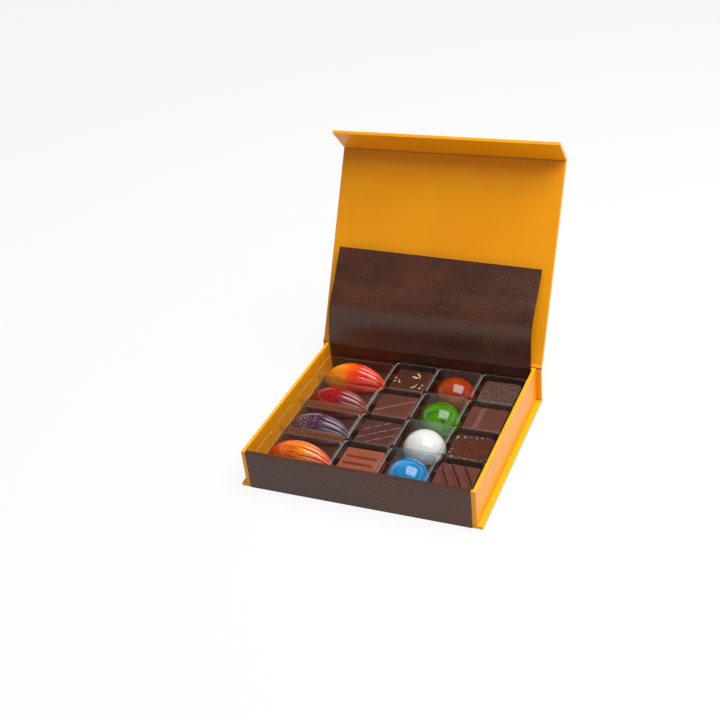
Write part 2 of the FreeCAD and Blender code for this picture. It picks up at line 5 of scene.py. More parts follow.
import bmesh
import bpy
from mathutils import Matrix, Vector, noise
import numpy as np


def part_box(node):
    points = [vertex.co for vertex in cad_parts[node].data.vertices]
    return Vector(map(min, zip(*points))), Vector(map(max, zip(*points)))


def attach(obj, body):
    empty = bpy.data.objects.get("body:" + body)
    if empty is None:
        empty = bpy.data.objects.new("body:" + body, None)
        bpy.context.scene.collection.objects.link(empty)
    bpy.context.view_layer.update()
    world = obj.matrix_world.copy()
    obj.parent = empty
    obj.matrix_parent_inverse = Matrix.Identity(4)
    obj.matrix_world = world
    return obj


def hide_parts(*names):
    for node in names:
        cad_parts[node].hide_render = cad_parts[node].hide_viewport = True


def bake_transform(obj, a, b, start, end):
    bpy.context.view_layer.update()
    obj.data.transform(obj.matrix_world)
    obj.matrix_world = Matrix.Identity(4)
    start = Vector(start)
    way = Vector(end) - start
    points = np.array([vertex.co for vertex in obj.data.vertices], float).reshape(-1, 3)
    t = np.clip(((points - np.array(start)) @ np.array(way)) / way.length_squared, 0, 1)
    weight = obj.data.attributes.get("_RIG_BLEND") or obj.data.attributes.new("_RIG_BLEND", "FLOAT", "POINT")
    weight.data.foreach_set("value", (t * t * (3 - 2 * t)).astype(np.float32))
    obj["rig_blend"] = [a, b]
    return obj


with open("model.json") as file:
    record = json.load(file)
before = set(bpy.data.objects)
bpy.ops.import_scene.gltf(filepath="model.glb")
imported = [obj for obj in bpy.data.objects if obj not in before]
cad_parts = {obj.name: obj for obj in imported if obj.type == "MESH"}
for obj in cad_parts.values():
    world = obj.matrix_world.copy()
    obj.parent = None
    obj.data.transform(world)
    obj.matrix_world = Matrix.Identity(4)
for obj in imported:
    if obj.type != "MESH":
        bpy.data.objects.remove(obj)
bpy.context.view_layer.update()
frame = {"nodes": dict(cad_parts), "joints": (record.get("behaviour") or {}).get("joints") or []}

# Base of the cover
# Greyboard wrapped in satin yellow paper, with edges that the paper softens.
# The tray is glued down on it, and the same paper runs on into the spine, the lid and the flap.
MM = 0.001
COVER_YELLOW = "F6A000"
COVER_YELLOW_DEEP = "F39A00"
# The paler yellow next is for rubbed edges and also for light painted onto level faces.
COVER_RUBBED_AND_LIT = "FFC412"
BOARD_ROUNDING = 0.5 * MM
LEVEL = 0.9
# How much of that paler yellow is painted onto level faces as light from overhead.
TOP_LIGHT = 0.9
WELD_REACH = 0.0005 * MM
SHARP_TURN = math.radians(50)


def linear(code):
    """A colour written as six hex digits, in the linear values that shaders take."""
    shares = [int(code[place : place + 2], 16) / 255 for place in (0, 2, 4)]
    lit = [s / 12.92 if s <= 0.04045 else ((s + 0.055) / 1.055) ** 2.4 for s in shares]
    return (*lit, 1.0)


def feed(paint, target, **inputs):
    """Fills a shader node's inputs with plain values or with other nodes' outputs."""
    for name, value in inputs.items():
        socket = target.inputs[name.replace("_", " ")]
        if isinstance(value, bpy.types.NodeSocket):
            paint.node_tree.links.new(value, socket)
        else:
            socket.default_value = value
    return target


def wire(paint, kind, options=None, **inputs):
    """Adds a shader node to a paint, sets its options and fills its inputs."""
    made = paint.node_tree.nodes.new(f"ShaderNode{kind}")
    for name, value in (options or {}).items():
        setattr(made, name, value)
    return feed(paint, made, **inputs)


def new_paint(name):
    """A new paint, its main shader and the place in the object that its patterns follow."""
    paint = bpy.data.materials.new(name)
    paint.use_nodes = True
    shader = paint.node_tree.nodes["Principled BSDF"]
    return paint, shader, wire(paint, "TexCoord").outputs["Object"]


def cloudy(paint, place, scale, detail=3.0, roughness=0.5):
    """A noise pattern between 0 and 1."""
    pattern = wire(paint, "TexNoise", Vector=place, Scale=scale, Detail=detail, Roughness=roughness)
    return pattern.outputs["Fac"]


def sums(paint, operation, first, second):
    """One step of arithmetic between two patterns, or a pattern and a number."""
    step = wire(paint, "Math", {"operation": operation})
    for socket, value in zip(step.inputs, (first, second)):
        if isinstance(value, bpy.types.NodeSocket):
            paint.node_tree.links.new(value, socket)
        else:
            socket.default_value = value
    return step.outputs["Value"]


def spread(paint, pattern, low, high, start=0.0, end=1.0):
    """Stretches a pattern's range from start and end to low and high."""
    step = wire(paint, "MapRange", Value=pattern, From_Min=start, From_Max=end, To_Min=low, To_Max=high)
    return step.outputs["Result"]


def ramp(paint, pattern, *stops):
    """Turns a pattern into colours, each given with its place along the pattern."""
    strip = wire(paint, "ValToRGB", Fac=pattern)
    points = strip.color_ramp.elements
    while len(points) < len(stops):
        points.new(1.0)
    for point, (place, code) in zip(points, stops):
        point.position = place
        point.color = linear(code)
    return strip.outputs["Color"]


def layered(paint, amount, under, over):
    """Lays one colour over another by an amount that a pattern gives."""
    step = wire(paint, "Mix", {"data_type": "RGBA"})
    for place, value in ((0, amount), (6, under), (7, over)):
        if isinstance(value, bpy.types.NodeSocket):
            paint.node_tree.links.new(value, step.inputs[place])
        else:
            step.inputs[place].default_value = linear(value)
    return step.outputs[2]


def marked(paint, name):
    """A mark that the mesh carries, such as where an edge is rubbed."""
    return wire(paint, "Attribute", {"attribute_name": name}).outputs["Fac"]


def embossed(paint, pattern, depth, strength=0.4):
    """The surface's direction, roughened by a pattern of a given depth."""
    return wire(paint, "Bump", Strength=strength, Distance=depth, Height=pattern).outputs["Normal"]


cover_paper, shader, place = new_paint("cover paper")
fibre = cloudy(cover_paper, place, 3800.0)
patches = cloudy(cover_paper, place, 24.0)
tone = ramp(cover_paper, patches, (0.35, COVER_YELLOW_DEEP), (0.65, COVER_YELLOW))
# Rubbed edges take the paler yellow as wear; level faces take it as painted light.
scuffs = spread(cover_paper, cloudy(cover_paper, place, 420.0), 0.35, 0.8, 0.35, 0.65)
rubbed_and_lit = sums(cover_paper, "MULTIPLY", marked(cover_paper, "wear_and_painted_light"), scuffs)
feed(
    cover_paper,
    shader,
    Base_Color=layered(cover_paper, rubbed_and_lit, tone, COVER_RUBBED_AND_LIT),
    Roughness=spread(cover_paper, fibre, 0.30, 0.42),
    Specular_IOR_Level=0.4,
    Normal=embossed(cover_paper, fibre, 0.03 * MM, 0.3),
)


def slab(low, high, rounding, steps=3, wear=True):
    """A straight block between two corners with rounded edges, which are marked as worn on request."""
    low, high = Vector(low), Vector(high)
    bm = bmesh.new()
    paler_mark = bm.faces.layers.float.new("wear_and_painted_light")
    bmesh.ops.create_cube(bm, size=1.0)
    bmesh.ops.scale(bm, vec=high - low, verts=bm.verts)
    bmesh.ops.translate(bm, vec=(low + high) / 2, verts=bm.verts)
    soften(bm, bm.edges[:], rounding, steps, paler_mark if wear else None)
    return bm


def soften(bm, edges, rounding, steps, paler_mark=None):
    """Rounds edges over, and gives the new faces a mark where one is given: rubbed wear on the cover's
    edges, whitening and painted highlight on the clear sheet's folds.
    """
    made = bmesh.ops.bevel(
        bm,
        geom=edges,
        offset=rounding,
        offset_type="OFFSET",
        segments=steps,
        profile=0.5,
        affect="EDGES",
        material=-1,
    )
    if paler_mark:
        for face in made["faces"]:
            face[paler_mark] = 1.0


def light_tops(bm):
    """Marks every level face, such as a rim or a ledge, for the paler colour: painted light on the faces
    turned up to the lamp overhead.
    """
    paler_mark = bm.faces.layers.float["wear_and_painted_light"]
    for face in bm.faces:
        if face.normal.z > LEVEL:
            face[paler_mark] = TOP_LIGHT


def settle(bm, name, paint, nodes, body=None, even=True):
    """Ends a piece: outward faces, soft shading, its paint, and the CAD pieces and body it goes with."""
    bmesh.ops.remove_doubles(bm, verts=bm.verts, dist=WELD_REACH)
    bmesh.ops.recalc_face_normals(bm, faces=bm.faces)
    mesh = bpy.data.meshes.new(name)
    bm.to_mesh(mesh)
    bm.free()
    mesh.shade_smooth()
    mesh.set_sharp_from_angle(angle=SHARP_TURN)
    mesh.materials.append(paint)
    piece = bpy.data.objects.new(name, mesh)
    bpy.context.scene.collection.objects.link(piece)
    if even:
        piece.modifiers.new("even shading", "WEIGHTED_NORMAL").keep_sharp = True
    if nodes:
        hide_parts(*nodes)
    if body:
        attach(piece, body)
    return piece


def paint_nodes(paint, *nodes):
    """Paints CAD pieces that are carried over as they are."""
    for node in nodes:
        frame["nodes"][node].data.materials.clear()
        frame["nodes"][node].data.materials.append(paint)


base = slab(*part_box("base_wrap"), BOARD_ROUNDING)
light_tops(base)
settle(base, "base_cover_paper", cover_paper, ["base_wrap"], "tray_case")

# Boards inside the cover and the tray
# Grey pasteboard, cut square and sealed in by the paper; the tray's corners are held by paper stays.
# They are carried over from the solid model and only show where a piece is taken apart.
greyboard, shader, place = new_paint("greyboard")
pulp = cloudy(greyboard, place, 900.0, 5.0, 0.65)
feed(
    greyboard,
    shader,
    Base_Color=ramp(greyboard, pulp, (0.3, "837C72"), (0.7, "A59D92")),
    Roughness=spread(greyboard, pulp, 0.82, 0.95),
    Normal=embossed(greyboard, pulp, 0.08 * MM),
)
paint_nodes(
    greyboard,
    "base_board",
    "spine_board",
    "lid_board",
    "flap_board",
    "tray_floor_board",
    "tray_front_board",
    "tray_back_board",
    "tray_left_board",
    "tray_right_board",
    "corner_stays",
    "floor_pad",
)

# Magnets in the flap and steel discs in the front wall
# Small nickelled discs let into the boards under the paper, so that the flap holds shut.
# They are carried over from the solid model.
plated, shader, place = new_paint("nickelled steel")
brushing = cloudy(plated, place, 2500.0)
feed(
    plated,
    shader,
    Base_Color=ramp(plated, brushing, (0.3, "A9A8A4"), (0.7, "C9C8C4")),
    Metallic=1.0,
    Roughness=spread(plated, brushing, 0.22, 0.36),
    Normal=embossed(plated, brushing, 0.01 * MM),
)
paint_nodes(plated, "flap_magnets", "wall_discs")

# Spine of the cover
# The narrow wrapped board behind the tray's back wall, glued to it.
# The paper folds round under its foot from the base in one soft quarter turn.
spine = slab(*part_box("spine_wrap"), BOARD_ROUNDING)
settle(spine, "spine_cover_paper", cover_paper, ["spine_wrap"], "tray_case")


def around(middle, radius, turn):
    """A point round a left-right line, at an angle that is 0 straight down."""
    return middle + radius * Vector((0, math.sin(turn), -math.cos(turn)))


def paper_fold(half_width, middle, radius, start, turn, paper, steps=12):
    """A strip of paper bent round a left-right line, from a start angle on through a turn."""
    bm = bmesh.new()
    root = around(middle, radius, start)
    ends = [bm.verts.new(root + Vector((x, 0, 0))) for x in (-half_width, half_width)]
    strip = bm.edges.new(ends)
    bmesh.ops.spin(bm, geom=[strip], cent=middle, axis=(1, 0, 0), angle=turn, steps=steps)
    bmesh.ops.recalc_face_normals(bm, faces=bm.faces)
    outward = bm.faces[:][0]
    if outward.normal.dot(outward.calc_center_median() - middle) < 0:
        bmesh.ops.reverse_faces(bm, faces=bm.faces)
    bmesh.ops.solidify(bm, geom=bm.faces[:], thickness=paper)
    return bm


fold_low, fold_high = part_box("spine_fold")
FOLD_PAPER = 2.3 * MM
spine_fold = paper_fold(
    fold_high.x,
    Vector((0, fold_low.y, fold_high.z)),
    fold_high.y - fold_low.y,
    0.0,
    math.pi / 2,
    FOLD_PAPER,
)
settle(
    spine_fold, "spine_fold_shown", cover_paper, ["spine_fold"], "tray_case", even=False
)

# Tray
# Four walls wrapped in the same yellow paper, outside, over the rim and down the inside.
# The upright corners are folded tight over the stays.
WALL = 2.3 * MM
TRAY_ROUNDING = 0.28 * MM
WALL_TURN = 0.5
tray_low, tray_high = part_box("tray_wrap")
tray = bmesh.new()
tray_paler_mark = tray.faces.layers.float.new("wear_and_painted_light")
bmesh.ops.create_cube(tray, size=1.0)
bmesh.ops.scale(tray, vec=tray_high - tray_low, verts=tray.verts)
bmesh.ops.translate(tray, vec=(tray_low + tray_high) / 2, verts=tray.verts)
ends = [face for face in tray.faces if abs(face.normal.z) > LEVEL]
bmesh.ops.inset_individual(tray, faces=ends, thickness=WALL, use_even_offset=True)
mouth_edges = [edge for face in ends for edge in face.edges]
bmesh.ops.delete(tray, geom=ends, context="FACES_ONLY")
bmesh.ops.bridge_loops(tray, edges=mouth_edges)
bmesh.ops.recalc_face_normals(tray, faces=tray.faces)
turned = [edge for edge in tray.edges if edge.calc_face_angle(0.0) > WALL_TURN]
soften(tray, turned, TRAY_ROUNDING, 3, tray_paler_mark)
light_tops(tray)
settle(tray, "tray_paper", cover_paper, ["tray_wrap"], "tray_case")

# Liner
# One dark brown printed sheet over the front rim, down the wall, along the floor and up the back wall.
# Its ends go on as the front leaf and the back leaf, which are creased to fold over the chocolates.
LINER_SHEET = 0.25 * MM
LINER_FOLD = 0.8 * MM
RIM_LAP = 0.6 * MM
LINER_STOP = 0.1 * MM
LINER_BROWN = "3C2115"
LINER_SPECK = "6E442D"
LINER_RED = "522616"
liner_paper, shader, place = new_paint("liner paper")
speck = cloudy(liner_paper, place, 1100.0, 2.0, 0.6)
patch = cloudy(liner_paper, place, 34.0, 3.0, 0.6)
brown = ramp(liner_paper, patch, (0.35, LINER_BROWN), (0.7, LINER_RED))
specks = spread(liner_paper, speck, 0.0, 0.75, 0.5, 0.68)
feed(
    liner_paper,
    shader,
    Base_Color=layered(liner_paper, specks, brown, LINER_SPECK),
    Roughness=spread(liner_paper, patch, 0.27, 0.40, 0.3, 0.7),
    Specular_IOR_Level=0.5,
    Normal=embossed(liner_paper, speck, 0.05 * MM, 0.35),
)


def bent_sheet(path, half_width, fold, sheet):
    """A sheet that follows a path of front-back and height points, with soft folds at its turns."""
    bm = bmesh.new()
    row = [bm.verts.new((-half_width, y, z)) for y, z in path]
    runs = [bm.edges.new(pair) for pair in zip(row, row[1:])]
    swept = bmesh.ops.extrude_edge_only(bm, edges=runs)["geom"]
    far_side = [part for part in swept if isinstance(part, bmesh.types.BMVert)]
    bmesh.ops.translate(bm, vec=(2 * half_width, 0, 0), verts=far_side)
    turns = [edge for edge in bm.edges if len(edge.link_faces) == 2]
    soften(bm, turns, fold, 6)
    bmesh.ops.recalc_face_normals(bm, faces=bm.faces)
    bmesh.ops.solidify(bm, geom=bm.faces[:], thickness=sheet)
    return bm


liner_low, liner_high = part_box("liner_sheet")
leaf_low, leaf_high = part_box("front_leaf")
back_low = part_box("back_leaf_lower")[0]
RIM_END = liner_low.y + RIM_LAP
wall_inside = tray_low.y + WALL + LINER_SHEET
back_inside = liner_high.y - LINER_SHEET
floor_top = liner_low.z + LINER_SHEET
liner = bent_sheet(
    [
        (RIM_END, liner_high.z),
        (wall_inside, liner_high.z),
        (wall_inside, floor_top),
        (back_inside, floor_top),
        (back_inside, back_low.z - LINER_STOP),
    ],
    liner_high.x,
    LINER_FOLD,
    LINER_SHEET,
)
settle(liner, "liner_sheet_shown", liner_paper, ["liner_sheet"], "tray_case", even=False)

# Front leaf
# The liner's front end, bent over the rim and hanging down the outside of the front wall.
# It swings up and over the front row on its crease.
LEAF_CREASE = 0.4 * MM
front_leaf = bent_sheet(
    [(RIM_END, leaf_high.z), (leaf_low.y, leaf_high.z), (leaf_low.y, leaf_low.z)],
    leaf_high.x,
    LEAF_CREASE,
    LINER_SHEET,
)
front_leaf = settle(
    front_leaf, "front_leaf_shown", liner_paper, ["front_leaf"], even=False
)
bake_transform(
    front_leaf,
    "tray_case",
    "leaf_front",
    (0, leaf_high.y, leaf_high.z),
    (0, leaf_low.y, leaf_high.z - 1.2 * MM),
)

# Lid
# The large wrapped board, with the paper turned in along both sides of its inner face.
# A lining sheet is pasted between the turn-ins; two fine seams show where they meet.
joints = {joint["name"]: joint for joint in frame["joints"]}
LID_OPEN = math.radians(120.4)
LID_REACH = 148.7 * MM
LID_GAP = 2.2 * MM
LID_SEAT = 0.9 * MM
COVER_THICK = 2.6 * MM
COVER_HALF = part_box("lid_wrap")[1].x
TURN_IN = 13.0 * MM
LINING_RISE = 0.1 * MM
LINING_DEPTH = 0.15 * MM
LINING_MARGIN = 0.7 * MM
LINING_ROUNDING = 0.08 * MM
lid_pivot = Vector(joints["cover_lid_hinge"]["pos_m"])
lid_place = Matrix.Translation(lid_pivot) @ Matrix.Rotation(-LID_OPEN, 4, "X")
lid = slab(
    (-COVER_HALF, -LID_REACH, LID_SEAT),
    (COVER_HALF, -LID_GAP, LID_SEAT + COVER_THICK),
    BOARD_ROUNDING,
)
lid_lining = slab(
    (-COVER_HALF + TURN_IN, -LID_REACH + LINING_MARGIN, LID_SEAT - LINING_RISE),
    (COVER_HALF - TURN_IN, -LID_GAP - LINING_MARGIN, LID_SEAT + LINING_DEPTH),
    LINING_ROUNDING,
    1,
    wear=False,
)
for sheet, name, node in (
    (lid, "lid_cover_paper", "lid_wrap"),
    (lid_lining, "lid_lining_shown", "lid_lining"),
):
    bmesh.ops.transform(sheet, matrix=lid_place, verts=sheet.verts)
    settle(sheet, name, cover_paper, [node], "cover_lid")

# Lid hinge
# The bare fold of doubled paper between the spine's top and the lid's back edge.
# It bends round the hinge line as the lid turns.
HINGE_RADIUS = 2.5 * MM
HINGE_START = math.radians(25.0)
HINGE_TURN = math.radians(105.0)
lid_hinge = paper_fold(COVER_HALF, lid_pivot, HINGE_RADIUS, HINGE_START, HINGE_TURN, FOLD_PAPER, 20)
lid_hinge = settle(
    lid_hinge, "lid_hinge_paper_shown", cover_paper, ["lid_hinge_paper"], even=False
)
hinge_ends = [
    around(lid_pivot, HINGE_RADIUS, turn) for turn in (HINGE_START, HINGE_START + HINGE_TURN)
]
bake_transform(lid_hinge, "tray_case", "cover_lid", *hinge_ends)

# Flap
# The narrow wrapped board that closes over the front wall, hinged to the lid's free edge.
# Its lining is pasted inside the turn-ins, over two magnets.
FLAP_TURN = math.radians(136.0)
FLAP_LENGTH = 25.8 * MM
FLAP_GAP = 0.3 * MM
flap_pivot = Vector(joints["cover_flap_hinge"]["pos_m"])
flap_place = Matrix.Translation(flap_pivot) @ Matrix.Rotation(-FLAP_TURN, 4, "X")
flap = slab((-COVER_HALF, -COVER_THICK, -FLAP_LENGTH), (COVER_HALF, 0, -FLAP_GAP), BOARD_ROUNDING)
flap_lining = slab(
    (-COVER_HALF + TURN_IN, -LINING_DEPTH, -FLAP_LENGTH + TURN_IN),
    (COVER_HALF - TURN_IN, LINING_RISE, -FLAP_GAP - LINING_MARGIN),
    LINING_ROUNDING,
    1,
    wear=False,
)
for sheet, name, node in (
    (flap, "flap_cover_paper", "flap_wrap"),
    (flap_lining, "flap_lining_shown", "flap_lining"),
):
    bmesh.ops.transform(sheet, matrix=flap_place, verts=sheet.verts)
    settle(sheet, name, cover_paper, [node], "cover_flap")

# Flap hinge
# The paper that runs on from the lid's outer face round to the flap's outer face.
# It is drawn tight round the fold and straightens as the flap lies back.
FLAP_FOLD = math.radians(74.4)
FOLD_LAP = math.radians(9.0)
flap_start = math.pi - LID_OPEN
flap_hinge = paper_fold(
    COVER_HALF, flap_pivot, COVER_THICK, flap_start - FOLD_LAP, FLAP_FOLD + 2 * FOLD_LAP, FOLD_PAPER, 24
)
flap_hinge = settle(
    flap_hinge, "flap_hinge_paper_shown", cover_paper, ["flap_hinge_paper"], even=False
)
hinge_ends = [around(flap_pivot, COVER_THICK, turn) for turn in (flap_start, flap_start + FLAP_FOLD)]
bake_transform(flap_hinge, "cover_lid", "cover_flap", *hinge_ends)

# Back leaf
# The liner's back end, a springy sheet that stands up off the back wall and rests against the lid.
# It curves back more and more towards its free edge, which is cut a little out of square.
LEAF_LOWER = 26.0 * MM
LEAF_UPPER = 49.0 * MM
LEAF_BEND = math.radians(26.5)
BEND_FROM = 6.0 * MM
BEND_TO = 52.0 * MM
LEAF_BULGE = 2.8 * MM
LEAF_SKEW = 1.5 * MM
LEAF_RIPPLE = 0.25 * MM
BULGE_FROM = 0.5
BEND_ROUNDS = 60
leaf_root = Vector(joints["leaf_lower_fold"]["pos_m"])
leaf_fold = Vector(joints["leaf_upper_fold"]["pos_m"])
leaf_up = (leaf_fold - leaf_root).normalized()


def leaf_point(along, bend):
    """A point of the leaf's middle, a way along it, with a share of the bend."""
    return leaf_fold + Matrix.Rotation(-LEAF_BEND * bend, 3, "X") @ leaf_up * (along - LEAF_LOWER)


bend_start = leaf_point(BEND_FROM, 0.0)
bend_end = leaf_point(BEND_TO, 1.0)
bend_line = bend_end - bend_start
back_leaf = bmesh.new()
bmesh.ops.create_grid(back_leaf, x_segments=48, y_segments=72, size=0.5)
for vert in back_leaf.verts:
    side = 2 * vert.co.x
    along = (vert.co.y + 0.5) * (LEAF_LOWER + LEAF_UPPER - LEAF_SKEW * side)
    bend = 0.5
    for _ in range(BEND_ROUNDS):
        travel = (leaf_point(along, bend) - bend_start).dot(bend_line) / bend_line.length_squared
        travel = min(max(travel, 0.0), 1.0)
        bend = travel * travel * (3 - 2 * travel)
    middle = leaf_point(along, bend)
    ahead = leaf_point(along + 0.1 * MM, bend) - middle
    forward = Vector((0, -ahead.z, ahead.y)).normalized()
    share = along / (LEAF_LOWER + LEAF_UPPER)
    right = max(0.0, (side + BULGE_FROM) / (1 + BULGE_FROM))
    swell = LEAF_BULGE * right * right * math.sin(math.pi * share) ** 2
    ripple = LEAF_RIPPLE * share * noise.noise(Vector((side * 2.1, share * 2.6, 4.2)))
    vert.co = middle + forward * (swell + ripple)
    vert.co.x = side * liner_high.x
bmesh.ops.recalc_face_normals(back_leaf, faces=back_leaf.faces)
bmesh.ops.solidify(back_leaf, geom=back_leaf.faces[:], thickness=LINER_SHEET)
back_leaf = settle(
    back_leaf,
    "back_leaf_shown",
    liner_paper,
    ["back_leaf_lower", "back_leaf_upper"],
    even=False,
)
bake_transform(back_leaf, "leaf_lower", "leaf_upper", bend_start, bend_end)

# Clear insert
# A clear sheet drawn by vacuum into sixteen pockets, with wide ledges by the pods and an upright lip.
# It lies loose on the liner and looks hazy at a slant; its ledges by the pods carry a painted tan
# reflection, and its folds are whitened partly as painted highlight; each chocolate sits loose in its
# pocket.
CLEAR_SHEET = 0.35 * MM
POD_POCKET = 53.1 * MM
SQUARE_POCKET = 31.5 * MM
POD_POCKET_DEEP = 24.9 * MM
# Limits of the ledges by the pods that carry a painted tan reflection.
PAINTED_REFLECTION_LEFT = -67.0 * MM
PAINTED_REFLECTION_FRONT = -50.0 * MM
PAINTED_REFLECTION_BACK = 17.0 * MM
# Shares of the fold whitening and painted highlight kept left of the pods' ledges and on crossways walls.
QUIET_RIM = 0.45
QUIET_CROSSWAYS = 0.25
SHEET_TURN = 0.3
SAME_HEIGHT = 0.01 * MM
DIVIDER = 2.2 * MM
CELL_GAP = 0.02 * MM
POCKET_DRAFT = 0.25 * MM
POCKET_DEPTH = 14.0 * MM
LIP_RISE = 3.6 * MM
POCKET_CORNER = 2.6 * MM
POCKET_FOOT = 0.8 * MM
POCKET_RIM = 0.7 * MM
LIP_CORNER = 2.5 * MM
clear_sheet, shader, place = new_paint("clear sheet")
flow = cloudy(clear_sheet, place, 60.0, 2.0)
haze_and_reflection = marked(clear_sheet, "haze_and_reflection")
fold = marked(clear_sheet, "fold")
clear = wire(clear_sheet, "BsdfTransparent", Color=linear("FFFFFF"))
shine = wire(clear_sheet, "BsdfGlossy", Color=linear("FFFFFF"), Roughness=0.08)
# The grey start of this ramp is the sheet's haze; its tan end is a painted reflection on the ledges by the
# pods.
haze_and_reflection_tint = ramp(clear_sheet, haze_and_reflection, (0.4, "C9CCC6"), (1.0, "784D2A"))
haze_and_painted_light = wire(clear_sheet, "BsdfDiffuse", Color=layered(clear_sheet, fold, haze_and_reflection_tint, "F4F2EE"))
edge_on = wire(clear_sheet, "LayerWeight", Blend=0.5).outputs["Facing"]
slanted = spread(clear_sheet, edge_on, 0.0, 1.0, 0.05, 0.45)
streaky = sums(clear_sheet, "MULTIPLY", slanted, spread(clear_sheet, flow, 0.5, 0.6))
haze_and_reflection_share = sums(clear_sheet, "MULTIPLY", haze_and_reflection, streaky)
# Folds are whitened, partly as stress whitening and partly as painted highlight along the rims.
fold_whitening_and_highlight = sums(clear_sheet, "MULTIPLY", fold, spread(clear_sheet, flow, 0.08, 0.2))
haze_and_painted_light_mix = wire(clear_sheet, "MixShader", Fac=sums(clear_sheet, "ADD", haze_and_reflection_share, fold_whitening_and_highlight))
for socket, part in ((1, clear), (2, haze_and_painted_light)):
    clear_sheet.node_tree.links.new(part.outputs["BSDF"], haze_and_painted_light_mix.inputs[socket])
grazing = sums(clear_sheet, "POWER", edge_on, 5.0)
sheen = wire(clear_sheet, "MixShader", Fac=spread(clear_sheet, grazing, 0.013, 0.24))
clear_sheet.node_tree.links.new(haze_and_painted_light_mix.outputs["Shader"], sheen.inputs[1])
clear_sheet.node_tree.links.new(shine.outputs["BSDF"], sheen.inputs[2])
clear_sheet.node_tree.nodes.remove(shader)
surface = clear_sheet.node_tree.nodes["Material Output"].inputs["Surface"]
clear_sheet.node_tree.links.new(sheen.outputs["Shader"], surface)

insert_low, insert_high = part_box("clear_insert")
divider_top = insert_high.z - LIP_RISE
insert_sheets = bpy.data.meshes.new("insert_sheets")
insert = bmesh.new()


def add_sheet(bm, haze_and_reflection_share=0.0, painted_reflection_ledge=False):
    """Thickens a shaped sheet, marks its hazy walls, its ledges by the pods for a painted tan reflection,
    and its folds, and adds it to the insert.
    """
    bmesh.ops.solidify(bm, geom=bm.faces[:], thickness=CLEAR_SHEET)
    haze_and_reflection = bm.faces.layers.float.new("haze_and_reflection")
    fold = bm.faces.layers.float.get("fold") or bm.faces.layers.float.new("fold")
    for face in bm.faces:
        face[haze_and_reflection] = haze_and_reflection_share * face.normal.y**4
        middle = face.calc_center_median()
        ledge = face.normal.z > LEVEL and middle.z > divider_top - MM
        by_pods = middle.x > PAINTED_REFLECTION_LEFT and PAINTED_REFLECTION_FRONT < middle.y < PAINTED_REFLECTION_BACK
        # Ledges by the pods take the tan painted reflection.
        if painted_reflection_ledge and ledge and by_pods:
            face[haze_and_reflection] = 1.0
        if middle.x < PAINTED_REFLECTION_LEFT:
            face[fold] *= QUIET_RIM
        if abs(face.normal.x) < abs(face.normal.y):
            face[fold] *= QUIET_CROSSWAYS
    bm.to_mesh(insert_sheets)
    bm.free()
    insert.from_mesh(insert_sheets)


def turns(edge, height):
    """Tells whether an edge lies level at a height, between faces that turn."""
    level = all(abs(vert.co.z - height) < SAME_HEIGHT for vert in edge.verts)
    return level and edge.calc_face_angle(0.0) > SHEET_TURN


def add_pocket(middle, size, cell_low, cell_high, haze_and_reflection_share, painted_reflection_ledge):
    """One drawn pocket, hanging from its share of the flat sheet round it, with its folds marked."""
    bm = bmesh.new()
    fold = bm.faces.layers.float.new("fold")
    top, foot = size.z / 2, -size.z / 2
    bmesh.ops.create_cube(bm, size=1.0)
    bmesh.ops.scale(bm, vec=size, verts=bm.verts)
    mouth = [face for face in bm.faces if face.normal.z > LEVEL]
    bmesh.ops.delete(bm, geom=mouth, context="FACES_ONLY")
    taper = (1 - 2 * POCKET_DRAFT / size.x, 1 - 2 * POCKET_DRAFT / size.y, 1)
    bmesh.ops.scale(bm, vec=taper, verts=[vert for vert in bm.verts if vert.co.z < 0])
    corners = [edge for edge in bm.edges if abs(edge.verts[0].co.z - edge.verts[1].co.z) > MM]
    soften(bm, corners, POCKET_CORNER, 6)
    soften(bm, [edge for edge in bm.edges if turns(edge, foot)], POCKET_FOOT, 3)
    rim = [edge for edge in bm.edges if edge.is_boundary]
    grown = bmesh.ops.extrude_edge_only(bm, edges=rim)["geom"]
    for vert in [part for part in grown if isinstance(part, bmesh.types.BMVert)]:
        past = [abs(vert.co[way]) - size[way] / 2 + POCKET_CORNER for way in (0, 1)]
        ends = [(cell_high if vert.co[way] > 0 else cell_low)[way] - middle[way] for way in (0, 1)]
        near = 0 if past[0] > past[1] else 1
        share = max(past[1 - near], 0.0) / past[near]
        vert.co[near] = ends[near]
        vert.co[1 - near] += (ends[1 - near] - vert.co[1 - near]) * share
    # Pocket rims are marked as folds, for whitening and painted highlight.
    soften(bm, [edge for edge in bm.edges if turns(edge, top)], POCKET_RIM, 3, fold)
    bmesh.ops.recalc_face_normals(bm, faces=bm.faces)
    if sum(face.normal.z * face.calc_area() for face in bm.faces) < 0:
        bmesh.ops.reverse_faces(bm, faces=bm.faces)
    bmesh.ops.translate(bm, vec=middle, verts=bm.verts)
    if painted_reflection_ledge:
        whole = bm.verts[:] + bm.edges[:] + bm.faces[:]
        bmesh.ops.bisect_plane(bm, geom=whole, plane_co=(PAINTED_REFLECTION_LEFT, 0, 0), plane_no=(1, 0, 0))
    add_sheet(bm, haze_and_reflection_share, painted_reflection_ledge)


